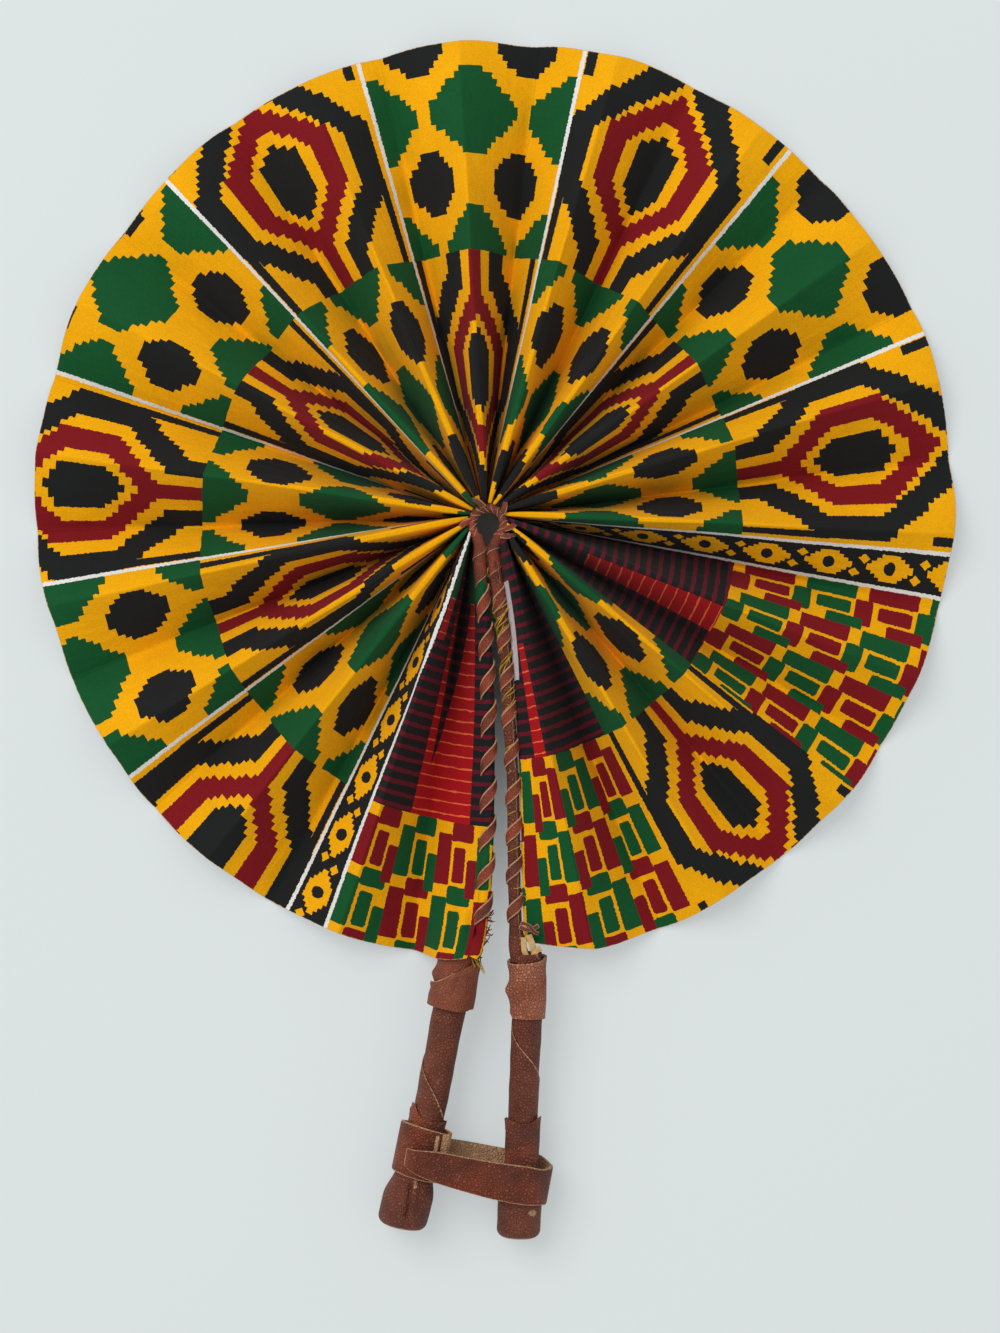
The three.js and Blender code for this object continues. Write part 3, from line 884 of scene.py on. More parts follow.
class Wardrobe:
    """All the fan's materials, made once."""

    def __init__(self) -> None:
        """Makes the shared node groups and each material."""
        grain, edge = leather_grain(), cut_edge()
        self.cloth = cloth_material(KentePrint().group(), edge)
        hide, dark, tan, light = Dye.HIDE, Dye.HIDE_DARK, Dye.HIDE_TAN, Dye.HIDE_LIGHT
        warm, red, pale = Dye.HIDE_WARM, Dye.HIDE_RED, Dye.HIDE_PALE
        leathers = (
            LeatherFinish("handle_leather", hide, dark, light),
            LeatherFinish("strap_leather", warm, dark, tan, 820, 0.0011, wear_and_highlight=0.6),
            LeatherFinish("thong_leather", red, dark, pale, 1300, 0.0004, wear_and_highlight=0.3),
            LeatherFinish("collar_leather", pale, tan, Dye.SUEDE, 800, 0.0012, wear_and_highlight=0.5, crevice_shade=0.9),
            LeatherFinish("flap_leather", tan, hide, light, 900, 0.0006, wear_and_highlight=0.4),
            LeatherFinish("sleeve_leather", warm, dark, light, wear_and_highlight=0.45, crevice_shade=0.35),
        )
        made = [leather.material(grain, edge) for leather in leathers]
        self.leather, self.strap, self.thong, self.collar, self.flap, self.sleeve = made
        self.card = plain_material("cream_card", Dye.LINING, Dye.WOOD, 600, 0.9)
        self.thread = plain_material("yellow_thread", Dye.THREAD, Dye.BLACK, 260, 0.8)
        self.red_thread = plain_material("red_thread", Dye.CRIMSON, Dye.BLACK, 400, 0.85)
        self.wood = plain_material("bare_wood", Dye.WOOD, Dye.HIDE_LIGHT, 300, 0.7)


# Mesh making


def add_object(name: str, data: bpy.types.ID) -> bpy.types.Object:
    """Adds an object to the scene, at the origin.

    Args:
        name: The object's name.
        data: Its mesh, camera or lamp.

    Returns:
        The object.
    """
    made = bpy.data.objects.new(name, data)
    bpy.context.scene.collection.objects.link(made)
    return made


@dataclass
class Spot:
    """A surface point in millimetres about the hub, how pale a cut edge it is, and its place on the print."""

    at: Vector
    pale: float = 0.0
    printed: tuple[float, float] = (0.0, 0.0)


class PieceMesh:
    """A piece made of one or more grids, each drawn over a surface."""

    def __init__(self, name: str, printed: bool = False) -> None:
        """Starts an empty piece.

        Args:
            name: The piece's name.
            printed: Whether it is printed cloth, which has a print map.
        """
        self.name = name
        self.bm = bmesh.new()
        self.pale = self.bm.verts.layers.float.new(PALE)
        self.map = self.bm.loops.layers.uv.new(PRINT_MAP) if printed else None

    def lay(
        self,
        columns: Sequence[object],
        rows: Sequence[object],
        place: Callable[[object, object], Spot],
        capped: bool = False,
    ) -> "PieceMesh":
        """Draws a grid over a surface and welds the edges that meet.

        Args:
            columns: What the surface takes for each column of points.
            rows: What it takes for each row.
            place: The surface.
            capped: Whether open ends are filled.

        Returns:
            This piece.
        """
        wide, long = len(columns) - 1, len(rows) - 1
        made = bmesh.ops.create_grid(self.bm, x_segments=wide, y_segments=long, size=0.5)
        verts = made["verts"]
        spots = {}
        for v in verts:
            spot = place(columns[round((v.co.x + 0.5) * wide)], rows[round((v.co.y + 0.5) * long)])
            v.co = to_frame(spot.at)
            v[self.pale] = spot.pale
            spots[v] = spot
        faces = {f for v in verts for f in v.link_faces}
        if self.map is not None:
            for f in faces:
                for loop in f.loops:
                    loop[self.map].uv = spots[loop.vert].printed
        bmesh.ops.remove_doubles(self.bm, verts=verts, dist=WELD)
        faces = [f for f in faces if f.is_valid]
        if capped:
            open_edges = {e for f in faces for e in f.edges if e.is_boundary}
            faces += bmesh.ops.holes_fill(self.bm, edges=list(open_edges), sides=0)["faces"]
        bmesh.ops.recalc_face_normals(self.bm, faces=faces)
        return self

    def make(self, material: bpy.types.Material, levels: int = 0, wall: float = 0.0) -> bpy.types.Object:
        """Turns the grids into an object.

        Args:
            material: The piece's finish.
            levels: How often the mesh is subdivided.
            wall: The thickness given to an open sheet, in millimetres.

        Returns:
            The object, at the origin.
        """
        mesh = bpy.data.meshes.new(self.name)
        self.bm.to_mesh(mesh)
        self.bm.free()
        mesh.polygons.foreach_set("use_smooth", [True] * len(mesh.polygons))
        if not levels:
            mesh.set_sharp_from_angle(angle=math.radians(CRISP_EDGE))
        mesh.materials.append(material)
        piece = add_object(self.name, mesh)
        if levels:
            rounding = piece.modifiers.new("rounding", "SUBSURF")
            rounding.levels = rounding.render_levels = levels
            rounding.boundary_smooth = "PRESERVE_CORNERS"
        if wall:
            thickness = piece.modifiers.new("wall", "SOLIDIFY")
            thickness.thickness = wall * MM
            thickness.offset = 0.0
        return piece


def settle(piece: bpy.types.Object, body: str, slot: str, *nodes: str) -> None:
    """Sets a piece on its body, names its finish and what it stands for, and reports it.

    Args:
        piece: The finished piece.
        body: The body that carries it.
        slot: The name of its finish.
        *nodes: The nodes that it is shown in place of.
    """
    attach(piece, body)
    if nodes:
        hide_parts(*nodes)
    LOG.info("%s rides on %s", piece.name, body)


@dataclass(frozen=True)
class Station:
    """A place on a line: its middle, the way ahead, and the sideways and upward directions there."""

    middle: Vector
    ahead: Vector
    side: Vector
    up: Vector

    def moved(self, way: Vector) -> "Station":
        """The same directions at a place beside it."""
        return Station(self.middle + way, self.ahead, self.side, self.up)

    def around(self, degrees: float, radius: float) -> Vector:
        """A point of a round section about the line."""
        turn = math.radians(degrees)
        return self.middle + (self.side * math.cos(turn) + self.up * math.sin(turn)) * radius


class CentreLine:
    """A smooth line through points, asked for its frame at any distance along it."""

    def __init__(self, points: Sequence[Vector], per_span: int = 40) -> None:
        """Draws the line.

        Args:
            points: What it passes through.
            per_span: The number of short steps between two of them.
        """
        ends = [points[0] * 2 - points[1], *points, points[-1] * 2 - points[-2]]
        self.points = [points[0].copy()]
        for span in zip(ends, ends[1:], ends[2:], ends[3:]):
            self.points += [self.between(*span, (i + 1) / per_span) for i in range(per_span)]
        self.distances = [0.0]
        for a, b in zip(self.points, self.points[1:]):
            self.distances.append(self.distances[-1] + (b - a).length)
        self.length = self.distances[-1]

    @staticmethod
    def between(before: Vector, first: Vector, last: Vector, after: Vector, share: float) -> Vector:
        """A point of the centripetal curve between two points, by a share of the way.

        Args:
            before: The point before the first.
            first: Where the span starts.
            last: Where it ends.
            after: The point after the last.
            share: From 0 at first to 1 at last.

        Returns:
            The point.
        """
        t0, t1, t2 = (math.sqrt((b - a).length) for a, b in ((before, first), (first, last), (last, after)))
        leave = ((first - before) / t0 - (last - before) / (t0 + t1) + (last - first) / t1) * t1
        arrive = ((last - first) / t1 - (after - first) / (t1 + t2) + (after - last) / t2) * t1
        square = (last - first) * 3 - leave * 2 - arrive
        cube = (first - last) * 2 + leave + arrive
        return first + leave * share + square * share**2 + cube * share**3

    def point(self, distance: float) -> Vector:
        """The point at a distance along the line, carried straight on past its ends.

        Args:
            distance: Millimetres along the line.

        Returns:
            The point.
        """
        at = min(max(bisect.bisect_right(self.distances, distance) - 1, 0), len(self.points) - 2)
        low, high = self.distances[at], self.distances[at + 1]
        return self.points[at].lerp(self.points[at + 1], (distance - low) / (high - low))

    def at(self, distance: float) -> Station:
        """The line's frame at a distance along it, held upright.

        Args:
            distance: Millimetres along the line.

        Returns:
            The frame.
        """
        ahead = (self.point(distance + 0.5) - self.point(distance - 0.5)).normalized()
        side = ahead.cross(UP).normalized()
        return Station(self.point(distance), ahead, side, side.cross(ahead))

    def where_down(self, down: float) -> float:
        """The distance along the line at which it passes a distance down the page."""
        return last_before(lambda distance: -self.point(distance).y < down, self.length)


# The outline of a flat thong, in half widths, half thicknesses and how much of a cut edge each point is.
THONG = (
    *((1, 0.3, 1), (0.9, 0.85, 1), (0.7, 1, 0), (0, 1.1, 0), (-0.7, 1, 0), (-0.9, 0.85, 1), (-1, 0.3, 1)),
    *((-1, -0.3, 1), (-0.9, -0.85, 0.5), (-0.6, -1, 0), (0.6, -1, 0), (0.9, -0.85, 0.5), (1, -0.3, 1)),
    (1, 0.3, 1),
)


def lay_ribbon(
    mesh: PieceMesh,
    centres: Sequence[Vector],
    outward: Sequence[Vector],
    width: Callable[[float], float],
    thick: float,
    pale: float = 1.0,
) -> None:
    """Draws a flat thong along a row of points.

    Args:
        mesh: The piece that it belongs to.
        centres: The middle of the thong.
        outward: The way that its face looks, at each of them.
        width: Its width by the share of its length.
        thick: Its thickness.
        pale: How much its cut edges show.
    """
    last = len(centres) - 1

    def place(corner: tuple[float, float, float], i: int) -> Spot:
        """A corner of the thong's outline at one of its centres."""
        before, after = centres[max(0, i - 1)], centres[min(last, i + 1)]
        ahead = (after - before).normalized()
        face = (outward[i] - ahead * outward[i].dot(ahead)).normalized()
        across = ahead.cross(face) * width(i / last) / 2
        x, y, edge = corner
        end = 0.8 if i in (0, last) else 0.0
        return Spot(centres[i] + across * x + face * y * thick / 2, max(edge, end) * pale)

    mesh.lay(THONG, range(last + 1), place, capped=True)


def lay_thread(mesh: PieceMesh, centres: Sequence[Vector], radius: float) -> None:
    """Draws a thin round thread along a row of points.

    Args:
        mesh: The piece that it belongs to.
        centres: The middle of the thread.
        radius: Its radius.
    """
    last = len(centres) - 1

    def place(degrees: float, i: int) -> Spot:
        """A point round the thread at one of its centres."""
        ahead = (centres[min(last, i + 1)] - centres[max(0, i - 1)]).normalized()
        side = ahead.cross(UP if abs(ahead.z) < 0.9 else Vector((1, 0, 0))).normalized()
        turn = math.radians(degrees)
        return Spot(centres[i] + (side * math.cos(turn) + side.cross(ahead) * math.sin(turn)) * radius)

    mesh.lay(spread(0, 360, 6), range(last + 1), place, capped=True)


def lay_loose_end(
    mesh: PieceMesh,
    chance: random.Random,
    root: Vector,
    ways: Sequence[tuple[float, float]],
    bows: tuple[float, float],
    lengths: tuple[float, float],
    radius: float,
) -> None:
    """Draws a short thread that stands out from its root and bows over.

    Args:
        mesh: The piece that it belongs to.
        chance: What its way, bow and length are drawn from.
        root: Where it starts.
        ways: From where to where its way may go, on each axis.
        bows: How far it may bow to either side, on the first two axes.
        lengths: Its least and greatest length.
        radius: Its radius.
    """
    way = Vector([chance.uniform(*span) for span in ways]).normalized()
    bow = Vector((*(chance.uniform(-most, most) for most in bows), -0.3))
    long = chance.uniform(*lengths)
    lay_thread(mesh, [root + (way * s + bow * s * s) * long for s in spread(0, 1, 6)], radius)


def lapped(count: int, last: float) -> list[tuple[float, float]]:
    """The columns of a strip that is rolled up: the share of its turn, and how far its lap stands up."""
    return [(share, share) for share in spread(0, last, count)] + [(1.0, 1.0), (1.0, 0.0)]


# The leaf


@dataclass(frozen=True)
class Fold:
    """A fold of the cloth: its ends on the page, whether it is a ridge, and its place along the strip."""

    number: int
    inner: Vector
    outer: Vector
    is_ridge: bool
    turn: float


@dataclass
class Leaf:
    """The pleated leaf, between the hems beside the two sticks."""

    finishes: Wardrobe
    panels: int = 37
    rim_radius: float = 183.0
    rim_shift: Vector = field(default_factory=lambda: Vector((3.2, 9.4, 0)))
    hub_radius: float = 9.4
    rim_depth: float = 7.0
    gap_angle: float = 4.8
    gap_middle: float = 272.0
    hub_gap: float = 88.0
    bow: float = 3.4
    crest_drop: float = 5.0
    crest_drop_reach: float = 8.0
    cloth: float = 0.7
    visible_cloth: float = 0.5
    ridge_shares: tuple[float, ...] = (0, 0.012, 0.035, 0.08, 0.18, 0.34, 0.5, 0.72, 0.9, 0.965, 1)
    hem_shares: tuple[float, ...] = (0, 0.03, 0.08, 0.16, 0.24, 0.32, 0.4, 0.5, 0.62, 0.8, 0.965, 1)
    row_shares: tuple[float, ...] = (
        *(-0.011, 0.005, 0.02, 0.045, 0.08, 0.12, 0.18, 0.25, 0.33, 0.42),
        *(0.51, 0.6, 0.69, 0.78, 0.86, 0.93, 0.98, 1.003, 1.006),
    )
    roll_from: float = 40.0  # near the hub the ridges are full rolls
    roll_to: float = 120.0  # and from here on they are plain creases
    roll_most: float = 0.45  # of a panel's width
    roll_radius: float = 1.15  # leaves room beside the next ridge when the fan is folded
    print_slip: dict[int, float] = field(default_factory=lambda: {2: 1.9})  # by fold: degrees at the hub
    slack: float = 0.5  # how far the cloth strays from a flat panel
    rim_swell: float = 0.005  # of the rim's radius, halfway between two folds
    folded_width: float = 0.012  # of a panel's width that is left when the fan is folded
    first_folded_width: float = 0.63
    last_folded_width: float = 0.09
    folded_slant: float = 0.022  # how far a folded panel leans out under its ridge, per millimetre
    levels: int = 2

    def __post_init__(self) -> None:
        """Works out the fold lines."""
        self.panel_angle = (360 - self.gap_angle) / self.panels
        self.start_angle = self.gap_middle - self.gap_angle / 2
        widest = self.rim_radius + self.rim_shift.length
        self.facet_width = math.hypot(widest * math.radians(self.panel_angle), self.rim_depth)
        self.crest_level = self.facet_width + self.cloth / 2
        self.folds = [self.fold(i + 1) for i in range(self.panels - 1)]

    def rim_reach(self, degrees: float) -> float:
        """The distance from the hub to the rim in one direction.

        Args:
            degrees: The direction.

        Returns:
            The distance.
        """
        ahead = flat(degrees, 1)
        across = ahead.x * self.rim_shift.y - ahead.y * self.rim_shift.x
        return ahead.dot(self.rim_shift) + math.sqrt(self.rim_radius**2 - across**2)

    def hub_angle(self, number: float) -> float:
        """The direction of a fold's hub end."""
        share = (number - 1) / (self.panels - 2)
        return self.gap_middle - self.hub_gap / 2 - share * (360 - self.hub_gap)

    def fold(self, number: int) -> Fold:
        """One fold, counted clockwise from the left stick.

        Args:
            number: The fold's number.

        Returns:
            The fold.
        """
        share = (number - 1) / (self.panels - 2)
        turn = number * self.panel_angle + self.bow * math.sin(math.pi * share)
        angle = self.start_angle - turn
        inner = flat(self.hub_angle(number), self.hub_radius)
        return Fold(number, inner, flat(angle, self.rim_reach(angle)), number % 2 == 0, turn)

    def on_fold(self, fold: Fold, share: float) -> Vector:
        """A point on a fold, by the share of its length from the hub.

        Args:
            fold: The fold.
            share: From 0 at the hub to 1 at the rim.

        Returns:
            The point.
        """
        place = fold.inner.lerp(fold.outer, share)
        reach = place.length
        pitch = reach * math.radians(self.panel_angle)
        drop = self.crest_drop * math.exp(-(reach - self.hub_radius) / self.crest_drop_reach)
        place.z = self.cloth / 2
        if fold.is_ridge:
            place.z += math.sqrt(self.facet_width**2 - pitch**2) - drop
        sway = 0.45 * ease(share, 0.05, 0.4)
        across = (fold.outer - fold.inner).cross(UP).normalized()
        return place + across * sway * rough(place, 38, fold.number)

    def share_at(self, fold: Fold, reach: float) -> float:
        """The share of a fold's length at a distance from the hub."""
        return last_before(lambda share: fold.inner.lerp(fold.outer, share).length < reach, 1.0)

    def rolled(self, share: float, reach: float, number: int) -> tuple[float, float]:
        """How a panel is rolled over its ridge near the hub.

        Args:
            share: How far down from the ridge, as a share of the fall.
            reach: The distance from the hub.
            number: The panel's number.

        Returns:
            How far across the panel that is, and how far along its cloth.
        """
        pitch = reach * math.radians(self.panel_angle)
        uneven = 1 + 0.2 * rough(Vector((number // 2, 0, 0)), 1.7, 4)
        radius = min(self.roll_most * pitch, self.roll_radius) * uneven
        wide, deep = radius / pitch, radius / self.facet_width
        bent = math.acos(1 - min(1.0, share / deep))
        rest = max(0.0, share - deep)
        across = wide * math.sin(bent) + (1 - wide) * rest / (1 - deep)
        along = (deep * bent + rest) / (deep * math.pi / 2 + 1 - deep)
        plain = ease(reach, self.roll_from, self.roll_to)
        return lerp(across, share, plain), lerp(along, share, plain)

    def panel(
        self, number: int, edges: Sequence[Callable[[float], Vector]], turns: Sequence[float], stick: "Stick"
    ) -> PieceMesh:
        """One panel of cloth between two edges.

        Args:
            number: The panel's number.
            edges: Its two edges, each a line from the hub to the rim by share.
            turns: Where the two edges lie along the strip.
            stick: The left stick, which the first panel lies over.

        Returns:
            The panel's mesh.
        """
        is_first, is_last = number == 1, number == self.panels
        order = 1 if number % 2 else -1  # the ridge is the first edge of an odd panel
        high, low = edges[::order]
        high_turn, low_turn = turns[::order]
        shares = self.hem_shares if is_first else self.ridge_shares
        crest, trough = self.ridge_shares[1], self.ridge_shares[-2]
        slipped = self.print_slip.get(number - number % 2, 0.0)

        def place(share: float, along: float) -> Spot:
            """A point of the panel, by its shares across and along."""
            a, b = high(along), low(along)
            reach = math.hypot(a.x, a.y)
            across, used = (share, share) if is_first else self.rolled(share, reach, number)
            fall = max(share, 0.0 if is_first else crest)
            fall = min(fall, 1.0 if is_last else trough)
            at = a.lerp(b, across)
            at.z = lerp(a.z, b.z, fall)
            face = (b - a).cross(Vector((at.x, at.y, 0))).normalized()
            loose = self.slack * math.sin(math.pi * share) * ease(along, 0.12, 0.5)
            at += face * loose * rough(at, 26, number * 3.7)
            puffed = 4 * across * (1 - across) + 2 * rough(at, 24, 31)
            swell = 1 + self.rim_swell * puffed * ease(along, 0.7, 1)
            at.x *= swell
            at.y *= swell
            if is_first:
                at.z = max(at.z, stick.cover(at))
            slip = slipped * (1 - used) * (1 - ease(along, 0.15, 0.75))
            turn = lerp(high_turn, low_turn, used) + slip
            is_rim = along == self.row_shares[-1]
            return Spot(at, 0.6 * is_rim, (turn / TURN_UNIT, math.hypot(at.x, at.y) / REACH_UNIT))

        return PieceMesh(f"leaf_cloth_{number:02d}", printed=True).lay(shares, self.row_shares, place)

    def build(self, sticks: tuple["Stick", "Stick"]) -> None:
        """Makes every panel, and sets each one on the body of its ridge.

        Args:
            sticks: The left and right stick, which the leaf's hems run beside.
        """
        left, right = sticks
        for number in range(1, self.panels + 1):
            before = self.folds[number - 2] if number > 1 else None
            after = self.folds[number - 1] if number < self.panels else None
            lines = [self.edge(before, after, left), self.edge(after, before, right)]
            turns = (before.turn if before else 0.0, after.turn if after else 360 - self.gap_angle)
            mesh = self.panel(number, lines, turns, left)
            piece = mesh.make(self.finishes.cloth, self.levels, self.visible_cloth)
            ridge = number - number % 2
            body = f"fold_{ridge:02d}" if ridge else left.body
            settle(piece, body, "cloth", f"leaf_panel_{number:02d}")
            self.flatten(piece, number, lines)
            self.declare(lines)

    def edge(self, fold: Fold | None, other: Fold | None, stick: "Stick") -> Callable[[float], Vector]:
        """A panel's edge by share: its fold, or the hem beside a stick where it has none.

        Args:
            fold: The fold at this edge, if there is one.
            other: The fold at the panel's other edge.
            stick: The stick that the panel is beside.

        Returns:
            The edge's point at a share of its length.
        """
        if fold is None:
            return stick.cloth_edge
        if other is None:
            hub_end = stick.cloth_edge(0)
            start = self.share_at(fold, math.hypot(hub_end.x, hub_end.y))
            return lambda share: self.on_fold(fold, lerp(start, 1, share))
        return lambda share: self.on_fold(fold, share)

    def flatten(self, piece: bpy.types.Object, number: int, lines: Sequence[Callable]) -> None:
        """Lets a panel close up to its ridge as its fold turns.

        Args:
            piece: The panel.
            number: Its number.
            lines: Its two edges.
        """
        ridge, valley = lines if number % 2 else lines[::-1]
        widths = {1: self.first_folded_width, self.panels: self.last_folded_width}
        keep = widths.get(number, self.folded_width)
        anchor = ridge(0.25)
        ahead = (ridge(0.85) - anchor).normalized()
        across = ahead.cross(UP).normalized()
        if across.dot(valley(0.5) - ridge(0.5)) < 0:
            across = -across
        up = (UP - ahead * ahead.z).normalized()
        axis = across + up * self.folded_slant / (1 - keep)
        to_frame(anchor)
        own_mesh(piece)

    def declare(self, lines: Sequence[Callable]) -> None:
        """Says what size the panel was before it was folded.

        Args:
            piece: The panel.
            lines: Its two edges.
        """
        length = max((line(1) - line(0)).length for line in lines) * MM
        widths = [(lines[1](s) - lines[0](s)).length * MM for s in spread(0, 1, 12)]


# The sticks


class Hem(Enum):
    """What covers a stick along the leaf: the cloth's own rolled edge, or a leather strip."""

    CLOTH_ROLL = "cloth roll"
    LEATHER_STRIP = "leather strip"


@dataclass
class Stick:
    """One stick: the hem and lacing along the leaf's edge, and the wrapped handle below."""

    name: str
    leaf: Leaf
    hem: Hem
    hub_offset: float
    mid_offset: float
    rim_offset: float
    handle_offset: float
    lean: float
    grip_radius: float
    knob_radius: float
    lace_front: float  # the share of a turn of the lacing that crosses the front
    lace_advance: float  # the share of the way to the next turn that it goes there
    lace_width: float
    leg_reach: float  # how far down the stick the hub's leg is wound
    leg_turns: float
    leg_taper: float  # how much of the leg's thickness is gone at its end
    hem_shift: tuple[tuple[float, float], ...]  # how far right of the core the hem lies, by share
    collar_shift: float  # how far below the grip's top the collar starts
    ears: tuple[float, float]  # how far the sleeve's left and right corners stand up
    wrap_phase: float  # where the grip's seam starts, in turns
    collar_bend: float = 0.0  # how far the collar leans back from the handle's line, per millimetre
    knob_swing: float = 0.0  # how far the knob leans out beyond the handle's line
    butt: float = 0.0  # how far the knob's butt stands past the handle's end
    lace_turns: int = 9
    lace_from: float = 10.0
    lace_to: float = 4.0  # short of the rim
    lace_angles: tuple[float, float, float] = (195.0, -18.0, -165.0)  # before, between and after its two runs
    lace_neck: float = 1.3  # its width where it goes round the edge
    wrap_turns: float = 2.4
    inner_reach: float = 15.0
    stick_drop: float = 9.0
    rim_inset: float = 7.0
    handle_rise: float = 10.0
    handle_length: float = 100.0
    core_hub: float = 1.0
    core_rim: float = 2.0
    layer: float = 0.15
    hem_radius: tuple[float, float] = (2.1, 2.6)
    hem_lead: float = -5.0
    cloth_overrun: float = 6.2
    roll_angle: float = 25.0  # where the cloth runs on into its roll
    strip_angle: float = 172.0  # where it meets the leather strip
    grip_wall: float = 1.7
    collar_wall: float = 1.9
    collar_lead: float = 4.0
    collar_length: float = 23.5
    sleeve_wall: float = 0.9
    sleeve_length: float = 20.0
    cap_length: float = 24.0
    cap_lip: float = 0.8
    cap_swell: float = 12.0
    cap_round: float = 3.5
    handle_end_level: float = 11.6
    lap: float = 0.55  # how far the wrap's edge stands up

    def __post_init__(self) -> None:
        """Works out the centre line and the places along it."""
        rim = self.leaf.rim_reach(self.leaf.gap_middle) - self.rim_inset
        top = rim + self.rim_inset + self.handle_rise
        lean = math.radians(self.lean)
        end_x = self.handle_offset - self.handle_length * math.sin(lean)
        end_down = top + self.handle_length * math.cos(lean)
        places = [
            (self.hub_offset, self.inner_reach),
            (self.mid_offset, (self.inner_reach + rim) / 2),
            (self.rim_offset, rim),
            (self.handle_offset, top),
            ((self.handle_offset + end_x) / 2, (top + end_down) / 2),
            (end_x, end_down),
        ]
        hub_level = self.leaf.crest_level - self.stick_drop
        span = end_down - self.inner_reach
        self.line = CentreLine(
            [
                Vector((x, -down, lerp(hub_level, self.handle_end_level, (down - self.inner_reach) / span)))
                for x, down in places
            ]
        )
        self.rim_at = self.line.where_down(rim)
        self.handle_from = self.line.where_down(top) + 3
        self.core_handle = self.grip_radius - self.grip_wall - self.layer
        self.grip_from = self.rim_at + self.collar_lead
        self.cap_from = self.line.length - self.cap_length
        self.over_grip = self.grip_radius + self.layer
        self.collar_top = self.grip_from + self.collar_shift
        self.collar_low = self.collar_top + self.collar_length
        self.collar_outer = self.over_grip + self.collar_wall
        self.finishes = self.leaf.finishes

    @property
    def body(self) -> str:
        """The name of the stick's body."""
        return f"{self.name}_stick"

    def handle_at(self, d: float) -> Station:
        """The handle's frame, straight up to its collar, with the knob swung out a little.

        Args:
            d: Millimetres down the stick's line.

        Returns:
            The frame.
        """
        if d < self.handle_from:
            start = self.line.at(self.handle_from)
            back = (start.side * -self.collar_bend + start.ahead) * (d - self.handle_from)
            return start.moved(back)
        here = self.line.at(d)
        swing = self.knob_swing * ease(d, self.line.length - 55, self.line.length + 10)
        return here.moved(here.side * swing)

    def hem_at(self, d: float) -> Station:
        """The frame of the hem, which strays from the core to one side.

        Args:
            d: Millimetres down the stick's line.

        Returns:
            The frame.
        """
        here = self.line.at(d)
        share = max(0.0, d / self.rim_at)
        shift = self.hem_shift[-1][1]
        for (low, first), (high, last) in zip(self.hem_shift, self.hem_shift[1:]):
            if low <= share < high:
                shift = lerp(first, last, ease(share, low, high))
        return here.moved(Vector((shift, 0, 0)))

    def hem_size(self, d: float) -> float:
        """The radius of the hem, which grows over the core's shoulder where it is leather.

        Args:
            d: Millimetres down the stick's line.

        Returns:
            The radius.
        """
        plain = lerp(*self.hem_radius, min(1.0, d / self.rim_at))
        shoulder = 0.0 if self.hem is Hem.CLOTH_ROLL else 0.9
        return plain + shoulder * ease(d, self.rim_at - 8, self.rim_at + 4)

    def cap_radius(self, d: float) -> float:
        """The radius of the knob, which swells from its mouth."""
        swell = ease(d, self.cap_from, self.cap_from + self.cap_swell)
        return lerp(self.over_grip + self.cap_lip, self.knob_radius, swell)

    def cloth_edge(self, share: float) -> Vector:
        """Where the leaf's cloth meets the hem, by the share of its length.

        Args:
            share: From 0 at the hub to 1 at the rim.

        Returns:
            The point.
        """
        if self.hem is Hem.CLOTH_ROLL:
            d = lerp(self.hem_lead, self.rim_at + self.cloth_overrun, share)
            return self.hem_at(d).around(self.roll_angle, self.hem_size(min(d, self.rim_at)) - 0.1)
        d = lerp(self.hem_lead, self.rim_at, share)
        return self.hem_at(d).around(self.strip_angle, lerp(*self.hem_radius, share) + 0.5)

    def cover(self, point: Vector) -> float:
        """How high cloth has to lie at a point to clear the collar's mouth, and to slope up to it.

        Args:
            point: The point of the cloth.

        Returns:
            The height, or -1 where nothing is below.
        """
        d = self.line.where_down(-point.y)
        middle = self.handle_at(d).middle
        reach = (self.collar_outer + 1.6) * ease(d, self.collar_top - 16, self.collar_top - 1)
        aside = abs(point.x - middle.x)
        return middle.z + math.sqrt(reach**2 - aside**2) if aside < reach else -1.0

    def build(self) -> None:
        """Makes the core and all the soft coverings of the stick."""
        self.build_core()
        if self.hem is Hem.CLOTH_ROLL:
            self.build_roll()
            self.build_flap()
            self.build_frays()
        else:
            self.build_strip()
            self.build_threads()
            self.build_scraps()
        self.build_lacing()
        self.build_grip()
        self.build_collar()
        self.build_sleeve()
        self.build_knob()

    def start(self, piece: str, printed: bool = False) -> PieceMesh:
        """Starts a piece of this stick."""
        return PieceMesh(f"{self.name}_{piece}", printed)

    def put(self, piece: bpy.types.Object, slot: str, *nodes: str) -> None:
        """Sets a piece on the stick's body, in place of some of the stick's nodes."""
        settle(piece, self.body, slot, *(f"{self.name}_{node}" for node in nodes))

    def build_core(self) -> None:
        """Makes the wooden core, which follows the hem and then the handle."""

        def place(degrees: float, d: float) -> Spot:
            """A point round the core."""
            thick = ease(d, self.collar_top - 2, self.collar_top + 5)
            hem, handle = self.hem_at(d), self.handle_at(d)
            middle = hem.middle.lerp(handle.middle, ease(d, self.rim_at - 6, self.collar_top + 6))
            thin = lerp(self.core_hub, self.core_rim, min(1.0, d / self.rim_at))
            radius = lerp(thin, self.core_handle, thick)
            return Spot(Station(middle, hem.ahead, hem.side, hem.up).around(degrees, radius))

        mesh = self.start("stick_core")
        mesh.lay(spread(0, 360, 19), spread(0.5, self.line.length - 4, 80), place, capped=True)
        self.put(mesh.make(self.finishes.wood), "wood", "stick")

    def build_roll(self) -> None:
        """Rolls the cloth's edge round the core, with the print running on over it."""

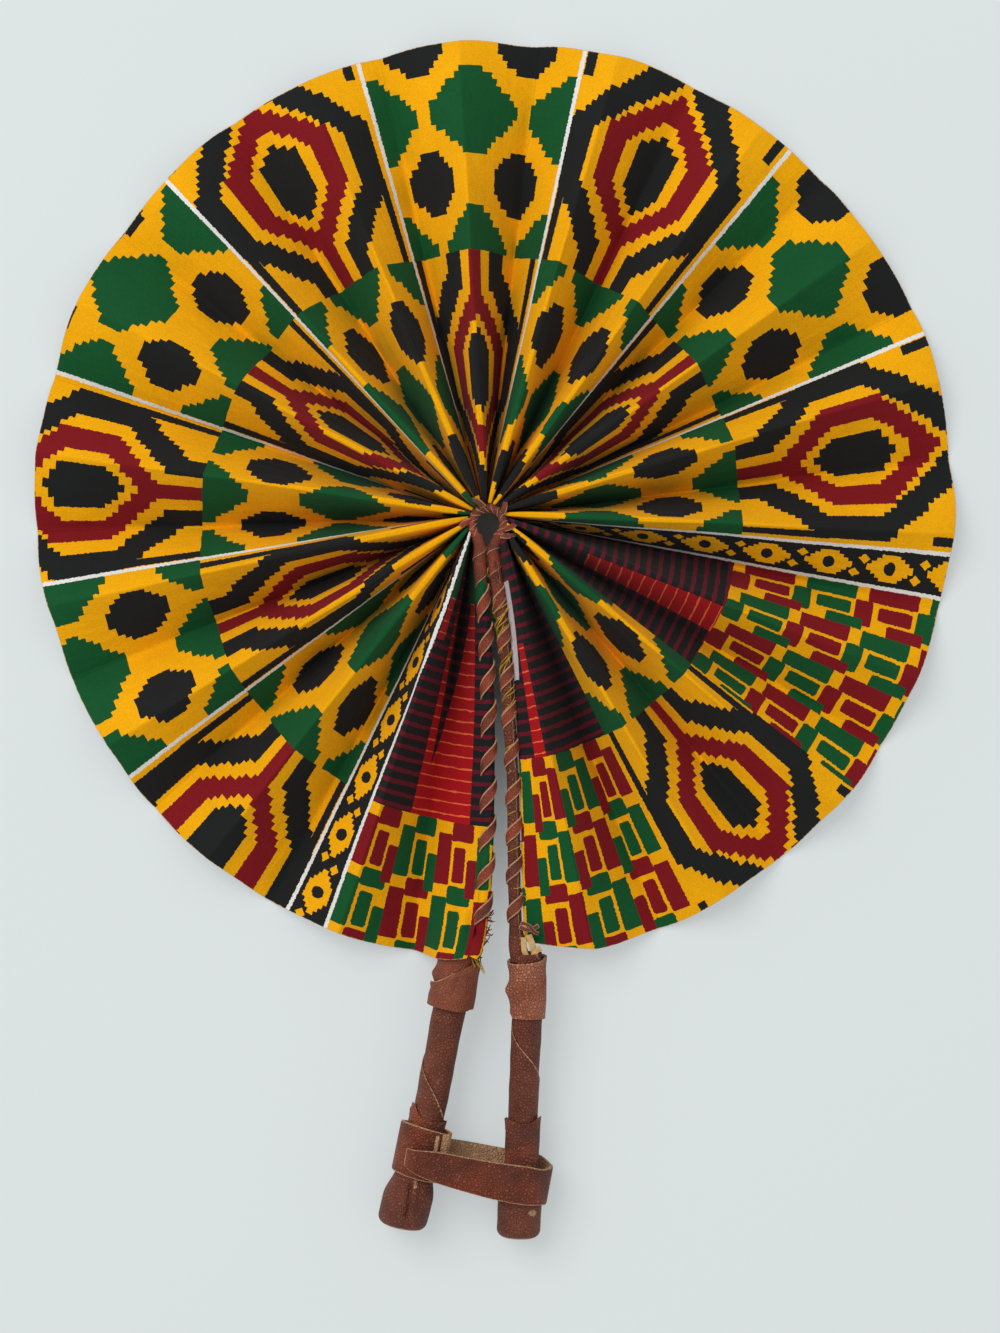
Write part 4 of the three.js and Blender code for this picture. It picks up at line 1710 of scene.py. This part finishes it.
        def place(degrees: float, d: float) -> Spot:
            """A point round the roll."""
            edge = self.hem_at(d).around(self.roll_angle, self.hem_size(d))
            at = self.hem_at(d).around(degrees, self.hem_size(d))
            at += UP * (0.25 * rough(at, 11, 8) + max(0.0, self.cover(edge) - edge.z))
            reach = math.hypot(at.x, at.y)
            turn = -math.degrees(math.radians(degrees - self.roll_angle) * self.hem_size(d) / reach)
            return Spot(at, 0.0, (turn / TURN_UNIT, reach / REACH_UNIT))

        mesh = self.start("hem_roll", printed=True)
        columns = spread(self.roll_angle, self.roll_angle + 360, 25)
        mesh.lay(columns, spread(0.5, self.rim_at + self.cloth_overrun, 70), place)
        self.put(mesh.make(self.finishes.cloth), "cloth", "edge_binding")

    def build_strip(self) -> None:
        """Makes the lapped leather strip that covers the core."""

        def place(column: tuple[float, float], d: float) -> Spot:
            """A point of the strip, by its turn and lift, down the hem."""
            turn, lift = column
            degrees = 118 + 360 * turn + 20 * rough(Vector((d, 0, 0)), 17, 6)
            lumps = 0.22 * rough(self.line.point(d) + Vector((degrees / 40, 0, 0)), 9, 3)
            radius = self.hem_size(d) - 0.2 + 0.45 * lift + lumps
            return Spot(self.hem_at(d).around(degrees, radius), 0.7 * (lift == 1))

        mesh = self.start("hem_strip").lay(lapped(30, 0.97), spread(0.5, self.collar_top + 3, 90), place)
        self.put(mesh.make(self.finishes.leather), "leather", "edge_binding")

    def build_lacing(self) -> None:
        """Whips the flat thong over the hem: long slanting blades in front, short turns behind."""
        start, stop = self.lace_from, self.rim_at - self.lace_to
        front, advance = self.lace_front, self.lace_advance
        before, between, after = self.lace_angles
        per_turn = 30
        steps = self.lace_turns * per_turn
        centres, outward, widths = [], [], []
        for i in range(steps + 1):
            turn, share = divmod(i / per_turn, 1)
            if share < front:
                degrees = lerp(before, between, share / front)
                along = advance * share / front
            else:
                degrees = lerp(between, after, (share - front) / (1 - front))
                along = lerp(advance, 1, (share - front) / (1 - front))
            d = lerp(start, stop, (turn + along) / self.lace_turns)
            here = self.hem_at(d)
            centres.append(here.around(degrees, self.hem_size(d) + 0.5))
            outward.append(centres[-1] - here.middle)
            middle = math.sin(math.pi * min(1.0, share / front))
            widths.append(lerp(self.lace_neck, self.lace_width, middle**0.8))
        mesh = self.start("lacing_thong")
        lay_ribbon(mesh, centres, outward, lambda share: widths[round(share * steps)], 0.75)
        self.put(mesh.make(self.finishes.thong), "dark_leather", "edge_lacing")

    def build_threads(self) -> None:
        """Winds loose threads of the cloth round the strip, with a few ends standing out."""
        chance = random.Random(7)
        mesh = self.start("hem_threads")
        for i in range(11):
            start = chance.uniform(2, 30) if i < 5 else chance.uniform(6, self.rim_at - 50)
            long = chance.uniform(22, 46)
            turns, phase = chance.uniform(1.2, 3.4), chance.uniform(0, 360)
            places = []
            for share in spread(0, 1, round(turns * 16)):
                d = start + long * share
                away = max(self.hem_size(d) + 0.45, 3.2 * (d < 27)) + 0.25 * math.sin(share * 17 + phase)
                places.append(self.hem_at(d).around(phase - 360 * turns * share, away))
            lay_thread(mesh, places, 0.2)
        for _ in range(16):
            d = chance.uniform(10, self.rim_at - 4)
            root = self.hem_at(d).around(chance.uniform(40, 170), self.hem_size(d) + 0.3)
            ways = ((-0.4, 1), (-1, 0.6), (0.1, 0.5))
            lay_loose_end(mesh, chance, root, ways, (0.5, 0.5), (1.5, 4), 0.14)
        self.put(mesh.make(self.finishes.thread), "cloth")

    def build_frays(self) -> None:
        """Pulls loose threads out of the cloth roll's end, and lets a few hang over the collar."""
        chance = random.Random(11)
        mesh = self.start("roll_frays")
        for _ in range(26):
            d = self.rim_at + chance.uniform(-12, self.cloth_overrun)
            root = self.hem_at(d).around(chance.uniform(130, 190), self.hem_size(d) - 0.1)
            root.z += max(0.0, self.cover(root) - root.z)
            ways = ((0.4, 1), (-0.9, 0.9), (-0.2, 0.4))
            lay_loose_end(mesh, chance, root, ways, (0.4, 0.8), (1.2, 3.2), 0.2)
        self.put(mesh.make(self.finishes.red_thread), "cloth")
        hanging = self.start("hanging_threads")
        mouth = self.handle_at(self.collar_top + 1)
        for i in range(5):
            root = mouth.around(128 + 9 * i, self.collar_outer + 1.1)
            sway = Vector((chance.uniform(0.1, 0.7), 0, 0.15))
            long = chance.uniform(3.5, 7)
            course = [root + (Vector((0.1, -1, 0)) + sway * s) * s * long for s in spread(0, 1, 7)]
            lay_thread(hanging, course, 0.16)
        self.put(hanging.make(self.finishes.thread), "cloth")

    def build_scraps(self) -> None:
        """Tucks torn ends of thong, card and cloth into the mouth of the collar."""
        mouth = self.handle_at(self.collar_top)

        def at(right: float, up: float, out: float) -> Vector:
            """A point by its distances from the middle of the mouth."""
            return mouth.middle - mouth.side * right - mouth.ahead * up + mouth.up * out

        torn, card = self.start("torn_thong"), self.start("card_curl")
        strands = (
            (torn, 1.7, [(-3.0, 13.5, 4.6), (0.0, 12.2, 5.2), (2.5, 12.6, 4.6), (4.6, 13.8, 4.2)]),
            (torn, 1.5, [(-2.4, 15.0, 4.4), (0.6, 14.0, 5.4), (3.2, 11.0, 4.8), (4.4, 10.6, 4.0)]),
            (card, 2.2, [(-1.4, 9, 3), (-1, 3, 4), (1, 0.2, 4.6), (3.4, 3.4, 4.2), (5.4, 4.6, 3.4)]),
            (card, 2.6, [(0.6, 10.0, 3.2), (2.0, 6.0, 3.6), (2.6, 3.0, 3.2)]),
        )
        for mesh, wide, path in strands:
            centres = CentreLine([at(*place) for place in path], 6).points
            lay_ribbon(mesh, centres, [mouth.up] * len(centres), lambda _, wide=wide: wide, 0.7)
        self.put(torn.make(self.finishes.thong), "leather")
        self.put(card.make(self.finishes.card), "cloth")

    def build_grip(self) -> None:
        """Wraps the handle in a spiral leather strip with a raised edge."""
        start, stop = self.grip_from + 1, self.line.length - 4

        def place(column: tuple[float, float], d: float) -> Spot:
            """A point of the strip, by its turn and lift, down the handle."""
            turn, lift = column
            wound = self.wrap_turns * (d - start) / (stop - start) + self.wrap_phase
            wander = 0.05 * rough(Vector((d, 0, 0)), 14, self.lean)
            degrees = 360 * (turn + wound + wander)
            here = self.handle_at(d)
            lumps = 0.24 * rough(here.around(degrees, self.grip_radius), 7, 5)
            radius = self.grip_radius - 0.3 + self.lap * lift + lumps
            return Spot(here.around(degrees, radius), 0.6 * (lift == 1))

        mesh = self.start("grip_wrap").lay(lapped(34, 0.96), spread(start, stop, 90), place)
        self.put(mesh.make(self.finishes.leather), "leather", "grip")

    def build_collar(self) -> None:
        """Makes the band at the top of the handle, open at its mouth, with a lump at its tucked end."""
        top, low, outer = self.collar_top, self.collar_low, self.collar_outer
        rows = [(d, 0.0) for d in spread(top, low, 28)]
        rows = [(top + 6, 1.0), (top + 0.3, 1.0), *rows, (low, 1.0), (low - 0.5, 1.5)]

        def place(degrees: float, row: tuple[float, float]) -> Spot:
            """A point round the band, in a row that is outside or inside."""
            d, inside = row
            here = self.handle_at(d)
            lumps = 0.4 * rough(here.around(degrees, outer), 7, 9)
            mouth = 0.5 * (1 - ease(d, top, top + 5))
            waist = 0.4 * ease(d, low - 9, low)
            from_tuck = math.hypot(((degrees - 8 + 180) % 360 - 180) / 16, (d - top - 12) / 2.6)
            tuck = 1.5 * math.exp(-(from_tuck**2))
            step = 1.4 * ease(math.sin(math.radians(degrees - 210)), -0.1, 0.3) * ease(d, low - 8, low)
            sag = 1.3 * math.sin(math.radians(degrees + 40)) * (1 - ease(d, top, top + 8))
            away = outer - 0.5 + lumps + mouth - waist + tuck - 1.1 * inside
            edge = 1.0 if d <= top + 0.3 else 0.0
            here = self.handle_at(d - step + sag)
            return Spot(here.around(degrees, away), edge)

        mesh = self.start("collar_band").lay(spread(0, 360, 49), rows, place)
        finish = self.finishes.flap if self.hem is Hem.CLOTH_ROLL else self.finishes.collar
        self.put(mesh.make(finish), "leather", "collar")

    def build_flap(self) -> None:
        """Folds the collar's loose end over its front, from low on the left to high on the right."""
        top, low, outer = self.collar_top, self.collar_low, self.collar_outer

        def place(degrees: float, share: float) -> Spot:
            """A point of the flap, by its direction and share down."""
            slope = (degrees - 2) / 200
            upper = lerp(top + 15.5, top + 3, ease(slope, 0.05, 0.8))
            lower = low + 0.5 - 1.6 * ease(slope, 0.55, 0.75)
            d = lerp(upper, lower, share)
            from_swirl = math.hypot((degrees - 50) / 7, d - top - 13)
            wrinkle = 0.9 * math.cos(from_swirl * 1.3) * math.exp(-from_swirl / 5)
            ridge = 0.7 * math.exp(-((share - 0.1) / 0.12) ** 2)
            here = self.handle_at(d)
            lumps = 0.3 * rough(here.around(degrees, outer), 5, 12)
            edge = (1.0 - ease(slope, 0.25, 0.6)) if share == 0 else 0.8 * (slope == 0)
            return Spot(here.around(degrees, outer + 0.35 + wrinkle + ridge + lumps), edge)

        mesh = self.start("collar_flap").lay(spread(2, 202, 30), spread(0, 1, 18), place)
        self.put(mesh.make(self.finishes.flap, levels=1, wall=0.8), "leather")

    def build_sleeve(self) -> None:
        """Makes the thin second wrap above the knob, with its two standing corners."""
        low = self.cap_from + 1.5
        top = low - self.sleeve_length - 2
        outer = self.over_grip + self.sleeve_wall

        def place(degrees: float, row: tuple[float, float]) -> Spot:
            """A point round the sleeve, in a row that is outside or inside."""
            share, inside = row
            left = max(0.0, math.cos(math.radians(degrees - 22)))
            right = max(0.0, math.cos(math.radians(degrees - 160)))
            corner = self.ears[0] * left**6 + self.ears[1] * right**6
            d = lerp(top - corner, low, share)
            here = self.handle_at(d)
            lumps = 0.3 * rough(here.around(degrees, outer), 7, 2)
            seam = 0.55 * ease((degrees / 360 + share * 0.22) % 1, 0.36, 0.385) * (1 - share * 0.4)
            flare = 0.12 * corner * (1 - share)
            away = outer - 0.5 + lumps + seam + flare - 0.7 * inside
            return Spot(here.around(degrees, away), 0.35 if share == 0 else 0.0)

        rows = [(0.2, 1.0), *((s, 0.0) for s in spread(0, 1, 24))]
        mesh = self.start("sleeve_wrap").lay(spread(0, 360, 73), rows, place)
        self.put(mesh.make(self.finishes.sleeve), "dark_leather", "sleeve")

    def build_knob(self) -> None:
        """Makes the knob: a folded cap with a slit or a bare spot, a rounded edge and a fuzzy butt."""
        end = self.line.length + self.butt
        bend = self.cap_round
        rows = [(d, 1.0) for d in spread(self.cap_from, end - bend, 24)]
        for t in spread(0.2, math.pi / 2, 6):
            rows.append((end - bend * (1 - math.sin(t)), 1 - (1 - math.cos(t)) * bend / self.knob_radius))
        rows += [(end + 0.25, s) for s in (0.5, 0.25, 0.0)]
        has_slit = self.hem is Hem.CLOTH_ROLL
        slit = 100.0

        def place(degrees: float, row: tuple[float, float]) -> Spot:
            """A point round the knob, in a row that has a share of its radius."""
            d, share = row
            here = self.handle_at(d)
            lumps = 0.4 * rough(here.around(degrees, self.knob_radius), 9, 4)
            off_slit = degrees - slit - 0.6 * (d - end)
            opening = ease(d, end - 20, end - 17) * (1 - ease(d, end - 6, end - 4))
            open_slit = math.exp(-((off_slit / 5) ** 2)) * opening
            lip = math.exp(-(((off_slit - 11) / 8) ** 2)) * (1 - ease(d, end - 9, end - 3))
            folded = (0.8 * lip - 1.6 * open_slit) * has_slit
            away = (self.cap_radius(min(d, self.line.length)) + lumps + folded) * share
            from_spot = math.hypot((degrees - 128) / 15, (d - end + 11) / 2.2)
            from_spot += 0.5 * rough(here.around(degrees, 9), 1.5, 1)
            bare = 0.0 if has_slit else 0.62 * math.exp(-(from_spot**4))
            fuzzy = 0.85 * ease(d, end - 1.2, end - 0.2) * (0.6 if share < 0.6 else 1)
            return Spot(here.around(degrees, away), max(fuzzy, bare, 0.5 * lip * has_slit * (d < end - 17)))

        mesh = self.start("knob_cap").lay(spread(0, 360, 73), rows, place, capped=True)
        self.put(mesh.make(self.finishes.leather), "leather", "end_cap")


# The hub


@dataclass
class HubRing:
    """The lacing round the hub hole: wraps that travel with the pleats, tails, and a leg to each stick."""

    leaf: Leaf
    radius: float = 6.3
    drop: float = 7.0
    half_width: float = 1.7
    shift: Vector = field(default_factory=lambda: Vector((0.4, -1.0, 0)))  # how far it hangs off the axis
    half_height: float = 1.6
    folds_per_wrap: int = 3
    slant: float = 9.0
    tail_angles: tuple[float, ...] = (170.0, 104.0, 36.0, -16.0, -40.0)

    def __post_init__(self) -> None:
        """Works out the ring's level."""
        self.level = self.leaf.crest_level - self.drop
        self.finish = self.leaf.finishes.thong

    def build(self, sticks: tuple[Stick, Stick]) -> None:
        """Makes the wraps, the tails and the legs.

        Args:
            sticks: The left and right stick.
        """
        wraps = (self.leaf.panels - 1) // self.folds_per_wrap
        for i in range(wraps):
            self.build_wrap(i)
        for i, angle in enumerate(self.tail_angles):
            self.build_tail(i, angle)
        for stick in sticks:
            self.build_leg(stick)

    def carrier(self, degrees: float) -> str:
        """The body of the fold nearest to a direction at the hub.

        Args:
            degrees: The direction.

        Returns:
            The body's name.
        """

        def off(fold: Fold) -> float:
            """How far a fold is from the direction."""
            return abs((self.leaf.hub_angle(fold.number) - degrees + 180) % 360 - 180)

        return f"fold_{min(self.leaf.folds, key=off).number:02d}"

    def build_wrap(self, index: int) -> None:
        """One slanted turn of the thong about the ring.

        Args:
            index: Its place in the ring, from 0.
        """
        middle = self.folds_per_wrap * index + (self.folds_per_wrap + 1) / 2
        start = self.leaf.hub_angle(middle - self.folds_per_wrap / 2)
        stop = self.leaf.hub_angle(middle + self.folds_per_wrap / 2)
        body = [(s, 0.86 + 0.16 * s) for s in spread(0.12, 0.94, 7)]
        rows = [(0.0, 0.7), (0.06, 0.84), *body, (1.04, 1.06), (1.09, 1.02), (1.1, 0.7)]

        def place(degrees: float, row: tuple[float, float]) -> Spot:
            """A point round the wrap, in a row that has a share of its size."""
            share, size = row
            turn = math.radians(degrees)
            angle = lerp(start, stop, share) + self.slant * (math.sin(turn) + math.cos(turn))
            size *= 1 + 0.1 * rough(Vector((angle, degrees / 30, 0)), 20, index)
            at = flat(angle, self.radius + self.half_width * size * math.cos(turn)) + self.shift
            at.z = self.level + self.half_height * size * math.sin(turn)
            return Spot(at, 1.0 if share in (1.04, 1.09) else 0.0)

        mesh = PieceMesh(f"hub_wrap_{index + 1:02d}").lay(spread(0, 360, 21), rows, place, capped=True)
        settle(mesh.make(self.finish), f"fold_{round(middle):02d}", "leather")

    def build_tail(self, index: int, degrees: float) -> None:
        """A cut end of the thong that pokes out between two pleats.

        Args:
            index: Its number, from 0.
            degrees: Its direction.
        """
        mesh = PieceMesh(f"hub_tail_{index + 1}")
        centres = []
        for i, reach in enumerate(spread(self.radius + 0.8, self.radius + 5.4, 7)):
            level = self.level + 1.6 + 0.9 * math.sin(i * 0.5)
            centres.append(flat(degrees + 3 * i, reach) + self.shift + UP * level)
        face = (UP + flat(degrees + 90, 0.5)).normalized()
        lay_ribbon(mesh, centres, [face] * len(centres), lambda share: 2.4 * (1 - share**3 * 0.6), 0.8, 0.6)
        settle(mesh.make(self.finish), self.carrier(degrees), "leather")

    def build_leg(self, stick: Stick) -> None:
        """The thong's run from the ring down to a stick, wound about the stick's hub end.

        Args:
            stick: The stick that it is wound on.
        """
        side = math.copysign(1, stick.hub_offset)
        ring_end = flat(self.leaf.gap_middle + side * (self.leaf.hub_gap / 2 + 6), self.radius) + self.shift
        ends = [ring_end + UP * self.level, stick.line.point(0) + Vector((side * -0.5, 4.6, 1.0))]
        ends += [stick.hem_at(d).middle for d in spread(2, stick.leg_reach, 5)]
        line = CentreLine(ends)

        def place(column: tuple[float, float], share: float) -> Spot:
            """A point of the rolled strip, by its turn and lift, along the leg."""
            turn, lift = column
            here = line.at(share * line.length)
            degrees = 360 * (turn - stick.leg_turns * share)
            size = lerp(2.1, 2.65, ease(share, 0, 0.3)) + 0.5 * (lift - 0.5)
            size *= 1 - stick.leg_taper * ease(share, 0.5, 1)
            at = here.middle + here.side * math.cos(math.radians(degrees)) * size
            at += here.up * math.sin(math.radians(degrees)) * size * lerp(0.8, 1.0, ease(share, 0.3, 0.8))
            return Spot(at, 0.9 * (lift == 1))

        mesh = PieceMesh(f"hub_leg_{stick.name}").lay(lapped(20, 0.94), spread(0, 1, 60), place, capped=True)
        nodes = ("hub_thong", "hub_whipping") if side < 0 else ()
        settle(mesh.make(self.finish), stick.body, "leather", *nodes)


# The closure strap


@dataclass
class ClosureStrap:
    """The leather strap: a wide loop on the left handle, and a band that goes round the right one."""

    left: Stick
    right: Stick
    thick: float = 1.5
    height: float = 15.0
    collar_rise: float = 6.6
    clearance: float = 0.6
    left_up: float = 27.0
    right_up: float = 21.0

    def __post_init__(self) -> None:
        """Works out the strap's own axes and the radii of its two bends."""
        left_at = self.left.line.length - self.left_up
        right_at = self.right.line.length - self.right_up
        left, right = self.left.line.at(left_at), self.right.line.at(right_at)
        self.middle = left.middle
        self.along = right.middle - left.middle
        self.span = self.along.length
        self.along.normalize()
        down = left.ahead + right.ahead
        self.down = (down - self.along * down.dot(self.along)).normalized()
        self.out = -self.along.cross(self.down)
        self.left_radius = self.bend_radius(self.left, left_at, left)
        self.right_radius = self.bend_radius(self.right, right_at, right)
        self.mesh = PieceMesh("closure_strap_leather")

    def bend_radius(self, stick: Stick, at: float, station: Station) -> float:
        """The radius of the band's middle round one handle, which leans against the band.

        Args:
            stick: The stick.
            at: How far down its line the strap is.
            station: The stick's frame there.

        Returns:
            The radius.
        """
        tall = self.height / 2
        leaning = self.down.angle(station.ahead)
        knob = stick.cap_radius(at + tall) / math.cos(leaning)
        return knob + tall * math.tan(leaning) + self.clearance + self.thick / 2

    def at(self, along: float, out: float, drop: float) -> Vector:
        """A point by its distances along the strap, out of the page and down the handles."""
        return self.middle + self.along * along + self.out * out + self.down * drop

    def build(self) -> None:
        """Makes the strap as one piece that bends between the left handle and its own body."""
        self.lay_collar()
        self.lay_band()
        self.lay_curl()
        piece = self.mesh.make(self.left.finishes.strap)
        start = self.at(self.left_radius + 1, 0, 0)
        end = self.at(self.span - self.right_radius, 0, 0)
        to_frame(start)
        to_frame(end)
        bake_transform(piece)
        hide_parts("closure_strap")
        LOG.info("%s bends between left_stick and strap", piece.name)

    def lay_wall(
        self, course: Sequence[Vector], edges: Callable[[float], tuple[float, float]], lean: float = 0.0
    ) -> None:
        """Draws a band with a thickness along a course, between an upper and a lower edge.

        Args:
            course: Points of the band's middle, as distances along the strap and out of the page.
            edges: The drop of the upper and lower edge, by the share of the course.
            lean: How far the band leans along the strap, per millimetre of drop.
        """
        last = len(course) - 1
        front, back = (0.0, 0.04, 0.25, 0.5, 0.75, 0.96, 1.0), (1.0, 0.96, 0.5, 0.04, 0.0)
        outline = [(1, share) for share in front] + [(-1, share) for share in back] + [(1, 0.0)]

        def place(corner: tuple[int, float], i: int) -> Spot:
            """A corner of the wall's outline at one point of its course."""
            side, share = corner
            ahead = (course[min(last, i + 1)] - course[max(0, i - 1)]).normalized()
            outward = Vector((-ahead.y, ahead.x, 0))
            is_edge = share in (0.0, 1.0)
            spot = course[i] + outward * side * self.thick / 2 * (0.75 if is_edge else 1.0)
            drop = lerp(*edges(i / last), share)
            pale = 0.9 if is_edge or i in (0, last) else 0.7 * (side < 0)
            return Spot(self.at(spot.x + lean * drop, spot.y, drop), pale)

        self.mesh.lay(outline, range(last + 1), place, capped=True)

    def lay_collar(self) -> None:
        """The wide loop on the left handle, which leans with it."""
        handle = self.left.line.at(self.left.line.length - self.left_up).ahead

        def ring(degrees: float) -> Vector:
            """A point of the loop's middle."""
            return flat(degrees, self.left_radius - 0.3 + 0.5 * math.sin(math.radians(2 * degrees + 30)))

        def edges(share: float) -> tuple[float, float]:
            """The drop of the loop's two edges."""
            sway = 1.4 * math.sin(share * 6.3 + 0.6)
            dip = 0.8 * math.cos(share * 6.3)
            return -self.height / 2 - self.collar_rise + sway, self.height / 2 - 2.0 + dip

        course = [ring(t) for t in spread(372, 12, 52)]
        self.lay_wall(course, edges, handle.dot(self.along) / handle.dot(self.down))

    def lay_band(self) -> None:
        """The band: out of the loop's slit, across the front, round the right handle and back behind."""
        left, right = self.left_radius, self.right_radius
        front, back = left + self.thick, -(left - 2)
        corners = [
            (-5.6, left - 1.2),
            (-1.5, front + 0.3),
            (8.0, front + 0.8),
            (self.span * 0.6, lerp(front, right, 0.6) + 0.4),
            *((self.span + right * math.sin(t), right * math.cos(t)) for t in spread(0.0, math.pi, 7)),
            (self.span * 0.55, lerp(-right, back, 0.5)),
            (left * 0.7, back * 0.82),
        ]
        course = CentreLine([Vector((x, y, 0)) for x, y in corners], 14).points[::2]

        def edges(share: float) -> tuple[float, float]:
            """The drop of the band's two edges."""
            tip = ease(share, -0.04, 0.3)
            behind = ease(share, 0.55, 0.8)
            upper = lerp(-6.0, -self.height / 2, tip) - 2.2 * behind
            lower = lerp(0.8, self.height / 2, tip) - 3.5 * behind
            return upper + 0.25 * math.sin(share * 31), lower + 0.2 * math.sin(share * 23)

        self.lay_wall(course, edges)

    def lay_curl(self) -> None:
        """The loop's free end, curled out at its right."""
        corners = ((-2.2, 1.5), (0.2, 4.0), (-0.6, 7.0), (-3.6, 7.4), (-4.6, 9.6))
        course = CentreLine([Vector((self.left_radius + x, y, 0)) for x, y in corners], 8).points
        self.lay_wall(course, lambda share: (-15.0 + 2 * share, -6.5 + 1.5 * share))


# The stage


@dataclass(frozen=True)
class Stage:
    """The camera straight above, the pale floor and soft light."""

    picture: tuple[int, int] = (1000, 1333)
    scale: float = 0.4  # millimetres of the fan per pixel of the picture
    hub_pixel: tuple[float, float] = (487.0, 523.0)
    height: float = 1.5
    level: float = 0.012  # the height that the scale holds at
    sensor: float = 36.0
    floor_size: float = 4.0
    sky: float = 0.64
    sky_tint: tuple[float, float, float, float] = (0.97, 0.985, 1.0, 1.0)
    floor_glow: float = 0.5  # how much of the floor the camera sees at its own colour, for softer shadows
    glow_from: float = 0.15  # metres from the hub, whose hole stays dark
    lamp_size: float = 2.6
    lamp_power: float = 60.0
    lamp_place: tuple[float, float, float] = (-1.5, 1.5, 2.7)

    def build(self) -> None:
        """Sets up the camera first, then the floor and the light."""
        self.build_camera()
        self.build_floor()
        self.build_light()

    def build_camera(self) -> None:
        """Looks straight down on the middle of the picture."""
        wide, tall = self.picture
        away = Vector((wide / 2 - self.hub_pixel[0], self.hub_pixel[1] - tall / 2, 0)) * self.scale
        view = bpy.data.cameras.new("camera")
        view.sensor_fit = "VERTICAL"
        view.sensor_height = self.sensor
        view.lens = self.sensor * (self.height - self.level) / (tall * self.scale * MM)
        camera = add_object("camera", view)
        camera.location = to_frame(away) + UP * self.height
        bpy.context.scene.camera = camera

    def build_floor(self) -> None:
        """Lays the pale floor."""
        finish = Finish("pale_floor", 0.9, Specular_IOR_Level=0.1)
        graph = finish.graph
        cloudy = graph.noise(graph.object_place(), 3, 1) * 0.04 + 0.98
        shade = graph.join(cloudy, cloudy, cloudy)
        tone = graph.paint(Dye.FLOOR.light, shade, 1.0, "MULTIPLY")
        x, y, _ = graph.split(graph.object_place())
        x, y = x - HUB.x, y - HUB.y
        # painted light: away from the hub the camera sees part of the floor at its own colour, which lightens
        # the shadows there
        beyond = ((x * x + y * y) / self.glow_from**2 - 0.2).clamped()
        seen = Field(graph, graph.node("ShaderNodeLightPath").outputs["Is Camera Ray"])
        own = seen * beyond * self.floor_glow
        finish.colour(graph.paint(tone, (0.0, 0.0, 0.0, 1.0), own))
        graph.feed(finish.shader.inputs["Emission Color"], tone)
        graph.feed(finish.shader.inputs["Emission Strength"], own)
        bm = bmesh.new()
        bmesh.ops.create_grid(bm, x_segments=1, y_segments=1, size=self.floor_size / 2)
        mesh = bpy.data.meshes.new("floor")
        bm.to_mesh(mesh)
        bm.free()
        mesh.materials.append(finish.material)
        floor = add_object("floor", mesh)

    def build_light(self) -> None:
        """Sets an even sky and one large soft lamp at the upper left."""
        world = bpy.data.worlds.new("sky")
        world.use_nodes = True
        sky = world.node_tree.nodes["Background"]
        sky.inputs["Color"].default_value = self.sky_tint
        sky.inputs["Strength"].default_value = self.sky
        bpy.context.scene.world = world
        lamp = bpy.data.lights.new("soft_lamp", "AREA")
        lamp.shape = "DISK"
        lamp.size = self.lamp_size
        lamp.energy = self.lamp_power
        light = add_object("soft_lamp", lamp)
        light.location = self.lamp_place
        light.rotation_euler = (-light.location).to_track_quat("-Z", "Y").to_euler()


def main() -> None:
    """Builds the stage and every piece of the fan in order."""
    logging.basicConfig(level=logging.INFO, format="%(name)s: %(message)s")
    bpy.context.scene.view_settings.view_transform = "Standard"
    Stage().build()
    leaf = Leaf(Wardrobe())
    left = Stick(
        name="left",
        leaf=leaf,
        hem=Hem.CLOTH_ROLL,
        hub_offset=-3.3,
        mid_offset=-0.8,
        rim_offset=-5.0,
        handle_offset=-12.4,
        lean=11.5,
        grip_radius=6.5,
        knob_radius=10.0,
        lace_front=0.62,
        lace_advance=0.96,
        lace_width=4.4,
        leg_reach=17.0,
        leg_turns=2.6,
        leg_taper=0.3,
        hem_shift=((0, 0.3), (0.15, 1.6), (0.8, 1.6), (1.0, 1.5)),
        collar_shift=0.8,
        ears=(6.0, 1.2),
        wrap_phase=-0.02,
        collar_bend=0.17,
        knob_swing=2.2,
    )
    right = Stick(
        name="right",
        leaf=leaf,
        hem=Hem.LEATHER_STRIP,
        hub_offset=3.3,
        mid_offset=9.6,
        rim_offset=14.2,
        handle_offset=16.2,
        lean=2.1,
        grip_radius=6.0,
        knob_radius=8.8,
        lace_front=0.56,
        lace_advance=0.74,
        lace_width=4.6,
        leg_reach=26.0,
        leg_turns=4.2,
        leg_taper=0.1,
        hem_shift=((0, -0.2), (0.2, 1.0), (0.5, 0.2), (1.0, -2.2)),
        collar_shift=3.4,
        ears=(2.0, 3.0),
        wrap_phase=0.36,
        butt=2.0,
    )
    leaf.build((left, right))
    left.build()
    right.build()
    HubRing(leaf).build((left, right))
    ClosureStrap(left, right).build()


if __name__ == "__main__":
    main()
